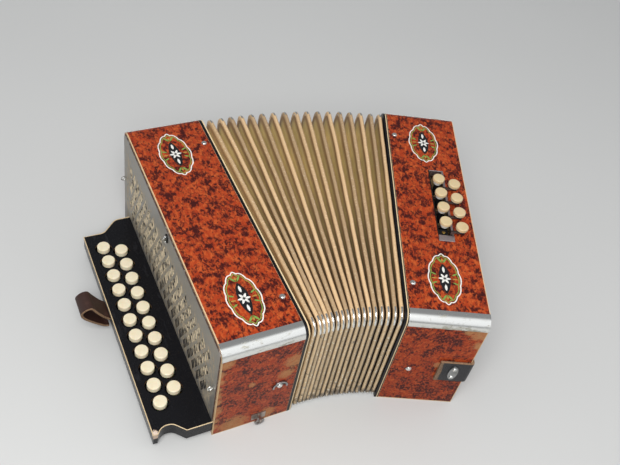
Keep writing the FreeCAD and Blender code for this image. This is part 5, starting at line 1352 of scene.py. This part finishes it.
def build_pins():
    """Domed heads of the bellows pins with their washers, and the closing studs."""
    bright = chrome_finish()
    pin_up, pin_inset, stud_front = 100 * MM, 6 * MM, 54 * MM
    treble_stud, bass_stud = 14.5 * MM, 17.6 * MM
    guard_radius, guard_half, guard_stand, hollow_radius = 6.6 * MM, 0.9 * MM, 0.9 * MM, 6 * MM
    treble_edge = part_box("treble_casing")[1].x
    bass_edge = bass_box("bass_casing")[0].x
    for side, place, pin_x, stud_x in (
            ("treble", Matrix(), treble_edge - pin_inset, treble_edge - treble_stud),
            ("bass", BASS, bass_edge + pin_inset, bass_edge + bass_stud)):
        piece = Piece()
        for sign in (1, -1):
            dome_head(piece, (pin_x, sign * pin_up, FRONT), UP, bright)
        dome_head(piece, (stud_x, -HALF, stud_front), (0, -1, 0), bright)
        if side == "treble":
            guard = [Vector((stud_x + out, -HALF - guard_stand, stud_front + up))
                     for out, up in arc((0, 0), guard_radius, -10, 190, 20)]
            piece.sweep(guard, rounded_rectangle(guard_half, guard_half, 0.35 * MM),
                        Vector((0, 1, 0)), steel_finish())
            # a thin black half-disc under the guard, painted shade for the hollow behind it
            hollow_shade = [Vector((stud_x + out, -HALF - 0.1 * MM, stud_front + up))
                      for out, up in arc((0, 0), hollow_radius, 0, 180, 14)]
            piece.prism(hollow_shade, (0, -0.15 * MM, 0), black_finish())
        piece.make(side + "_pins", side + "_end", place, 0, [side + "_studs"])


def dome_head(piece, middle, axis, material):
    """Domed pin head on a thin washer."""
    profile = [(2.8 * MM, 0), (2.8 * MM, 0.3 * MM)] + [
        (2.6 * MM * math.cos(turn), 0.4 * MM + 1.35 * MM * math.sin(turn))
        for turn in (math.radians(12 * step) for step in range(8))]
    piece.lathe(middle, profile, material, axis, 28)


def build_plate_screws():
    """Two domed screws through each oval plate of the hand strap."""
    low, high = bass_box("hand_strap_plates")
    middle = (low + high) / 2
    spacing = 6.2 * MM
    piece = Piece()
    for sign, face in ((-1, low.y), (1, high.y)):
        for rise in (-spacing, spacing):
            add_screw(piece, (middle.x, face, middle.z + rise), (0, sign, 0), 2.1 * MM,
                      chrome_finish(), 0.6)
    piece.make("strap_screws", "bass_end", BASS)


def build_cover_screws():
    """Small screws of the bass end cover and of the plate under the fingerboard."""
    low, high = bass_box("bass_end_cover")
    piece = Piece()
    inset = 8 * MM
    for up in (low.y + inset, high.y - inset):
        for front in (low.z + inset, high.z - inset):
            add_screw(piece, (high.x, up, front), (1, 0, 0), 2.4 * MM, steel_finish())
    piece.make("cover_screws", "bass_end", BASS)
    low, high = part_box("fingerboard_base")
    piece = Piece()
    for up in (low.y + inset, (low.y + high.y) / 2, high.y - inset):
        for across in (low.x + 5 * MM, -45 * MM):
            add_screw(piece, (across, up, low.z), (0, 0, -1), 2.0 * MM, steel_finish(), 0.15)
    piece.make("base_screws", "treble_end")


def build_air_button():
    """Cap, rod and faced pallet, in one line along the bass end's own X."""
    low, high = bass_box("air_button")
    radius, cap, pallet, facing = 8 * MM, 5 * MM, 11 * MM, 4 * MM
    middle = (low + high) / 2
    along = Vector((1, 0, 0))
    foot = (low.x, middle.y, middle.z)
    piece = Piece()
    piece.lathe((high.x - cap, middle.y, middle.z), button_profile(radius, 0, cap, 1.4 * MM),
                ivory_finish("button_cream", colours().button), along, 36)
    piece.lathe(foot, [(2.5 * MM, facing), (2.5 * MM, high.x - low.x - 4.5 * MM)],
                steel_finish(), along, 20)
    piece.lathe(foot, [(pallet - 0.6 * MM, 0), (pallet, 0.6 * MM), (pallet, facing)],
                felt_finish(), along, 36)
    piece.make("air_button_view", "air_button", BASS, 0, ["air_button"])


# ---------------------------------------------------------------- straps

def build_thumb_strap():
    """Bent leather loop on the fingerboard's outer edge."""
    low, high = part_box("thumb_strap")
    skin = sizes().strap_thickness
    root = high.x - 0.6 * skin
    side = low.x + skin / 2
    middle = (low.y + high.y) / 2
    line = [(root, 19.6), (root - 6 * MM, 26.5), (root - 12.5 * MM, 36.5), (side + 10 * MM, 42.9),
            (side + 4.2 * MM, 42.2), (side + 0.4 * MM, 37.5), (side + 2.4 * MM, 31.0),
            (side + 9.5 * MM, 22.5), (root - 6.6 * MM, 12.6), (root - 1.2 * MM, 10.0)]
    path = smooth_path([(across, middle, up * MM) for across, up in line], 6)
    strap_piece("thumb_strap_leather", path, (high.y - low.y) / 2, Vector((0, 1, 0)),
                leather_finish("brown_leather", colours().leather), "treble_end", None,
                "thumb_strap")


def strap_piece(name, path, half, flat, material, body, place, node):
    """Band of leather: smooth faces, rounded shoulders and cut edges of another colour."""
    thick = sizes().strap_thickness / 2
    edge = cut_leather_finish()
    shoulder, crown, cut = 0.45 * MM, thick + 0.12 * MM, thick * 0.45
    faces = [(thick, -half + shoulder), (crown, -half * 0.55), (crown, half * 0.55),
             (thick, half - shoulder), (cut, half), (-cut, half), (-thick, half - shoulder),
             (-thick, -half + shoulder), (-cut, -half), (cut, -half)]
    piece = Piece()
    piece.sweep(path, faces, flat, material)
    piece.finishes.append(edge)
    bmesh.ops.recalc_face_normals(piece.mesh, faces=piece.mesh.faces)
    for face in piece.mesh.faces:
        across = abs(face.normal.dot(flat))
        if across > 0.75 or len(face.verts) > 4:
            face.material_index = 1
    piece.make(name, body, place, 0, [node], angle=50)


def build_hand_strap():
    """Leather band over the bass end cover, its ends turned round the casing."""
    low, high = bass_box("hand_strap")
    casing_high = bass_box("bass_casing")[1]
    thick = sizes().strap_thickness
    gap, straight, bend = 0.3 * MM, 127 * MM, 2.2 * MM
    near = casing_high.x + gap + thick / 2
    face = HALF + gap + thick / 2
    lap = low.x + 0.1 * MM
    sagitta = high.x - thick / 2 - near
    lower = [(lap, -face), (lap + 10 * MM, -face), (near - 5 * MM, -face),
             (near - bend, -face), (near - 0.3 * bend, -face + 0.3 * bend),
             (near, -face + bend), (near, -straight - 2 * MM)]
    radius = (straight ** 2 + sagitta ** 2) / (2 * sagitta)
    spread = math.asin(straight / radius)
    arch = [(near + sagitta - radius + radius * math.cos(turn), radius * math.sin(turn))
            for turn in (spread * (step / 12 - 1) for step in range(25))]
    line = lower + arch + [(across, -up) for across, up in lower[::-1]]
    middle = (low.z + high.z) / 2
    path = smooth_path([(across, up, middle) for across, up in line], 3)
    strap_piece("hand_strap_leather", path, (high.z - low.z) / 2, UP,
                leather_finish("black_leather", colours().strap, 0.36, lap), "bass_end", BASS,
                "hand_strap")


# ---------------------------------------------------------------- inlay

def build_inlays():
    """Four pointed ovals of thin inlay, a rosette between leaves on a black ground."""
    low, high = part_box("treble_casing")
    inlay_at("treble_inlay", "treble_end", None, ((low.x + high.x) / 2 - 0.6 * MM, 92 * MM))
    low, high = bass_box("bass_casing")
    inlay_at("bass_inlay", "bass_end", BASS, (low.x + 36.7 * MM, 92 * MM))


def inlay_at(name, body, place, middle):
    """An upper and a lower inlay, each built of thin layers a hair apart."""
    shades = colours()
    layer = 0.02 * MM
    white = plain_finish("inlay_white", shades.inlay_white, 0.35)
    green = plain_finish("inlay_green", shades.inlay_green, 0.4)
    gold = plain_finish("inlay_gold", shades.inlay_gold, 0.4)
    black = plain_finish("inlay_black", shades.black, 0.3)
    for side, sign in (("upper", 1), ("lower", -1)):
        piece = Piece()
        centre = Vector((middle[0], sign * middle[1], FRONT))

        def lay(outline, level, material):
            points = [centre + Vector((across, up, (1 + level) * layer))
                      for across, up in outline]
            piece.prism(points, (0, 0, 3 * layer), material)

        def ribbon(outline, breadth, material):
            points = [centre + Vector((across, up, 2.5 * layer)) for across, up in outline]
            piece.sweep(points, rounded_rectangle(breadth / 2, 0.04 * MM, 0.02 * MM, 1), UP,
                        material, looped=True)

        ribbon(scalloped(15.4 * MM, 29.6 * MM, 12, 0.06), 1.15 * MM, white)
        ribbon(scalloped(13.4 * MM, 27.2 * MM, 12, 0.06), 0.8 * MM, green)
        lay(leaf((0, 0), 0, 17.5 * MM, 5.4 * MM), 0, black)
        for turn in range(0, 360, 60):
            lay(leaf((0, 0), turn + 30, 3.4 * MM, 1.15 * MM, shift=2.6 * MM), 2, white)
        for end in (1, -1):
            lay(leaf((0, end * 10.4 * MM), 0, 3.6 * MM, 1.2 * MM), 2, white)
            lay(leaf((0, end * 21.2 * MM), 0, 2.8 * MM, 1.1 * MM), 1, gold)
            for lean in (38, -38):
                lay(leaf((0, end * 18.5 * MM), lean, 3.6 * MM, 1.0 * MM,
                         shift=end * 3.8 * MM), 1, green)
            for turn, rise in ((90, 0), (62, 5.2), (118, -5.2)):
                lay(leaf((end * 9.8 * MM, rise * MM), turn * end, 2.5 * MM, 0.8 * MM), 1,
                    green if rise else gold)
        piece.make(name + "_" + side, body, place)


def scalloped(half_width, half_height, scallops, depth):
    """A pointed oval whose edge waves in and out."""
    points = []
    for turn in around(scallops * 8):
        wave = 1 - depth * (1 - abs(math.cos(turn * scallops / 2)))
        across = math.copysign(abs(math.sin(turn)) ** 1.25, math.sin(turn))
        points.append((half_width * wave * across, half_height * wave * math.cos(turn)))
    return points


def leaf(middle, lean, half_length, half_breadth, shift=0.0):
    """Pointed leaf, leaning by degrees from straight up, pushed along its own line by shift."""
    turn = math.radians(lean)
    along = (math.sin(turn), math.cos(turn))
    aside = (math.cos(turn), -math.sin(turn))
    points = []
    for angle in around(16):
        run = half_length * math.cos(angle) + shift
        out = half_breadth * math.sin(angle) * abs(math.sin(angle)) ** 0.5
        points.append((middle[0] + along[0] * run + aside[0] * out,
                       middle[1] + along[1] * run + aside[1] * out))
    return points


# ---------------------------------------------------------------- stage

def build_stage():
    """Floor, three soft lamps, the camera and the surroundings."""
    floor = Piece()
    edge = 4.0
    floor.skin([[Vector((-edge, -edge, 0)), Vector((edge, -edge, 0))],
                [Vector((-edge, edge, 0)), Vector((edge, edge, 0))]], floor_finish(), closed=False,
               capped=False)
    data = bpy.data.meshes.new("floor")
    floor.mesh.to_mesh(data)
    floor.mesh.free()
    data.materials.append(floor.finishes[0])
    ground = bpy.data.objects.new("floor", data)
    bpy.context.scene.collection.objects.link(ground)
    lights = bpy.context.scene.accordion_lights
    middle = Vector(lights.target)
    for name, place, size, power in (
            ("key_lamp", (-0.34, -0.6, 0.98), 0.6, lights.key),
            ("right_fill", (1.05, -0.5, 0.75), 1.1, lights.fill),
            ("back_fill", (0.2, 1.15, 0.9), 1.1, lights.fill)):
        lamp = bpy.data.lights.new(name, "AREA")
        lamp.size = size
        lamp.energy = power
        holder = bpy.data.objects.new(name, lamp)
        holder.location = place
        holder.rotation_euler = (Vector(place) - middle).to_track_quat("Z", "Y").to_euler()
        # the back lamp would show as a glare on the chrome
        holder.visible_glossy = name != "back_fill"
        bpy.context.scene.collection.objects.link(holder)
    build_camera(lights, middle)
    build_world(lights)


def build_camera(lights, middle):
    """Camera aimed at the middle of the instrument, then rolled about its own line."""
    data = bpy.data.cameras.new("camera")
    data.lens = lights.lens
    data.sensor_width = 36
    data.clip_start = 0.01
    camera = bpy.data.objects.new("camera", data)
    look = (Vector(lights.place) - middle).to_track_quat("Z", "Y").to_matrix().to_4x4()
    camera.matrix_world = (Matrix.Translation(lights.place) @ look
                           @ Matrix.Rotation(lights.roll, 4, "Z"))
    bpy.context.scene.collection.objects.link(camera)
    bpy.context.scene.camera = camera


def build_world(lights):
    """Pale surroundings that reflections see brightest over the front."""
    world = bpy.data.worlds.new("surroundings")
    world.use_nodes = True
    tree = world.node_tree
    towards = Wire(tree).node("ShaderNodeTexCoord").parts()
    window = towards[0] * 0.2 - towards[1] * 0.79 + towards[2] * 0.58
    plain = Wire(tree).node("ShaderNodeBackground", values={
        "Color": (0.95, 0.97, 1.0, 1),
        "Strength": (towards[2].rise(-0.1, 0.6) * 0.5 + 0.5) * lights.ambient})
    backdrop = Wire(tree).node("ShaderNodeBackground", values={
        "Color": (0.93, 0.94, 0.95, 1), "Strength": 0.9})
    mirrored = Wire(tree).node("ShaderNodeBackground", values={
        "Color": (0.95, 0.97, 1.0, 1), "Strength": window.rise(0.72, 0.93) * 0.8 + 0.3})
    camera, glossy, through = seen_by(tree, "Is Camera Ray", "Is Glossy Ray",
                                      "Is Transmission Ray")
    shown = camera.most(through)
    lit = shown.node("ShaderNodeMixShader", values={0: shown, 1: plain, 2: backdrop})
    mixed = shown.node("ShaderNodeMixShader", values={0: glossy, 1: lit, 2: mirrored})
    tree.links.new(mixed.socket, tree.nodes["World Output"].inputs["Surface"])
    bpy.context.scene.world = world
    bpy.context.scene.view_settings.view_transform = "Standard"


# ---------------------------------------------------------------- operators

def finished(build):
    """Runs a build, and reports it done. What it raises stops the script."""
    build()
    return {"FINISHED"}


class ACCORDION_OT_stage(Operator):
    """Pale floor, soft lamps and the camera"""
    bl_idname = "accordion.stage"
    bl_label = "Stage"

    def execute(self, context):
        return finished(build_stage)


class ACCORDION_OT_casings(Operator):
    """Burl celluloid on both casings and the bass end cover"""
    bl_idname = "accordion.casings"
    bl_label = "Casings"

    def execute(self, context):
        return finished(dress_casings)


class ACCORDION_OT_metal(Operator):
    """Chrome, steel, brass and the worn grille"""
    bl_idname = "accordion.metal"
    bl_label = "Metal parts"

    def execute(self, context):
        build_corner_trims()
        build_grille()
        build_grille_fixings()
        return finished(dress_metal)


class ACCORDION_OT_wood(Operator):
    """Plain and lacquered wood of boards, blocks, fingerboard and frames"""
    bl_idname = "accordion.wood"
    bl_label = "Wooden parts"

    def execute(self, context):
        return finished(dress_wood)


class ACCORDION_OT_bellows_cloth(Operator):
    """Folded cloth of the bellows"""
    bl_idname = "accordion.bellows_cloth"
    bl_label = "Bellows cloth"

    def execute(self, context):
        return finished(build_bellows_cloth)


class ACCORDION_OT_bellows_caps(Operator):
    """Metal corners of the folds"""
    bl_idname = "accordion.bellows_caps"
    bl_label = "Bellows corners"

    def execute(self, context):
        return finished(build_bellows_caps)


class ACCORDION_OT_treble_keys(Operator):
    """Buttons, levers and pallets of the treble side"""
    bl_idname = "accordion.treble_keys"
    bl_label = "Treble keys"

    def execute(self, context):
        return finished(build_treble_keys)


class ACCORDION_OT_binding(Operator):
    """Pale binding of the fingerboard"""
    bl_idname = "accordion.binding"
    bl_label = "Fingerboard binding"

    def execute(self, context):
        return finished(build_fingerboard_binding)


class ACCORDION_OT_bass_keys(Operator):
    """Buttons, cranks and pallets of the bass side"""
    bl_idname = "accordion.bass_keys"
    bl_label = "Bass keys"

    def execute(self, context):
        return finished(build_bass_keys)


class ACCORDION_OT_bass_slot(Operator):
    """Lining, block and screw of the bass key slot"""
    bl_idname = "accordion.bass_slot"
    bl_label = "Bass slot"

    def execute(self, context):
        return finished(build_bass_slot)


class ACCORDION_OT_pins(Operator):
    """Bellows pins and closing studs"""
    bl_idname = "accordion.pins"
    bl_label = "Pins and studs"

    def execute(self, context):
        return finished(build_pins)


class ACCORDION_OT_screws(Operator):
    """Screws of the strap plates, the end cover and the base plate"""
    bl_idname = "accordion.screws"
    bl_label = "Screws"

    def execute(self, context):
        build_plate_screws()
        return finished(build_cover_screws)


class ACCORDION_OT_air_button(Operator):
    """Air button, its rod and pallet"""
    bl_idname = "accordion.air_button"
    bl_label = "Air button"

    def execute(self, context):
        return finished(build_air_button)


class ACCORDION_OT_thumb_strap(Operator):
    """Leather loop for the thumb"""
    bl_idname = "accordion.thumb_strap"
    bl_label = "Thumb strap"

    def execute(self, context):
        return finished(build_thumb_strap)


class ACCORDION_OT_hand_strap(Operator):
    """Leather band for the left hand"""
    bl_idname = "accordion.hand_strap"
    bl_label = "Hand strap"

    def execute(self, context):
        return finished(build_hand_strap)


class ACCORDION_OT_inlays(Operator):
    """Inlaid ornaments on both fronts"""
    bl_idname = "accordion.inlays"
    bl_label = "Inlays"

    def execute(self, context):
        return finished(build_inlays)


OPERATORS = (
    ACCORDION_OT_stage, ACCORDION_OT_casings, ACCORDION_OT_metal, ACCORDION_OT_wood,
    ACCORDION_OT_bellows_cloth, ACCORDION_OT_bellows_caps, ACCORDION_OT_treble_keys,
    ACCORDION_OT_binding, ACCORDION_OT_bass_keys, ACCORDION_OT_bass_slot, ACCORDION_OT_pins,
    ACCORDION_OT_screws, ACCORDION_OT_air_button, ACCORDION_OT_thumb_strap,
    ACCORDION_OT_hand_strap, ACCORDION_OT_inlays,
)
GROUPS = {"accordion_sizes": AccordionSizes, "accordion_colours": AccordionColours,
          "accordion_lights": AccordionLights}


class ACCORDION_PT_panel(Panel):
    """Sizes, colours and pieces of the accordion"""
    bl_idname = "ACCORDION_PT_panel"
    bl_label = "Button accordion"
    bl_space_type = "VIEW_3D"
    bl_region_type = "UI"
    bl_category = "Accordion"

    def draw(self, context):
        for name, group in GROUPS.items():
            box = self.layout.box()
            for prop in group.__annotations__:
                box.prop(getattr(context.scene, name), prop)
        for operator in OPERATORS:
            self.layout.operator(operator.bl_idname)


def register():
    for kind in (*GROUPS.values(), *OPERATORS, ACCORDION_PT_panel):
        bpy.utils.register_class(kind)
    for name, group in GROUPS.items():
        setattr(bpy.types.Scene, name, bpy.props.PointerProperty(type=group))


def unregister():
    for name in GROUPS:
        delattr(bpy.types.Scene, name)
    for kind in (ACCORDION_PT_panel, *OPERATORS, *GROUPS.values()):
        bpy.utils.unregister_class(kind)


def main():
    register()
    for operator in OPERATORS:
        module, name = operator.bl_idname.split(".")
        getattr(getattr(bpy.ops, module), name)()


if __name__ == "__main__":
    main()
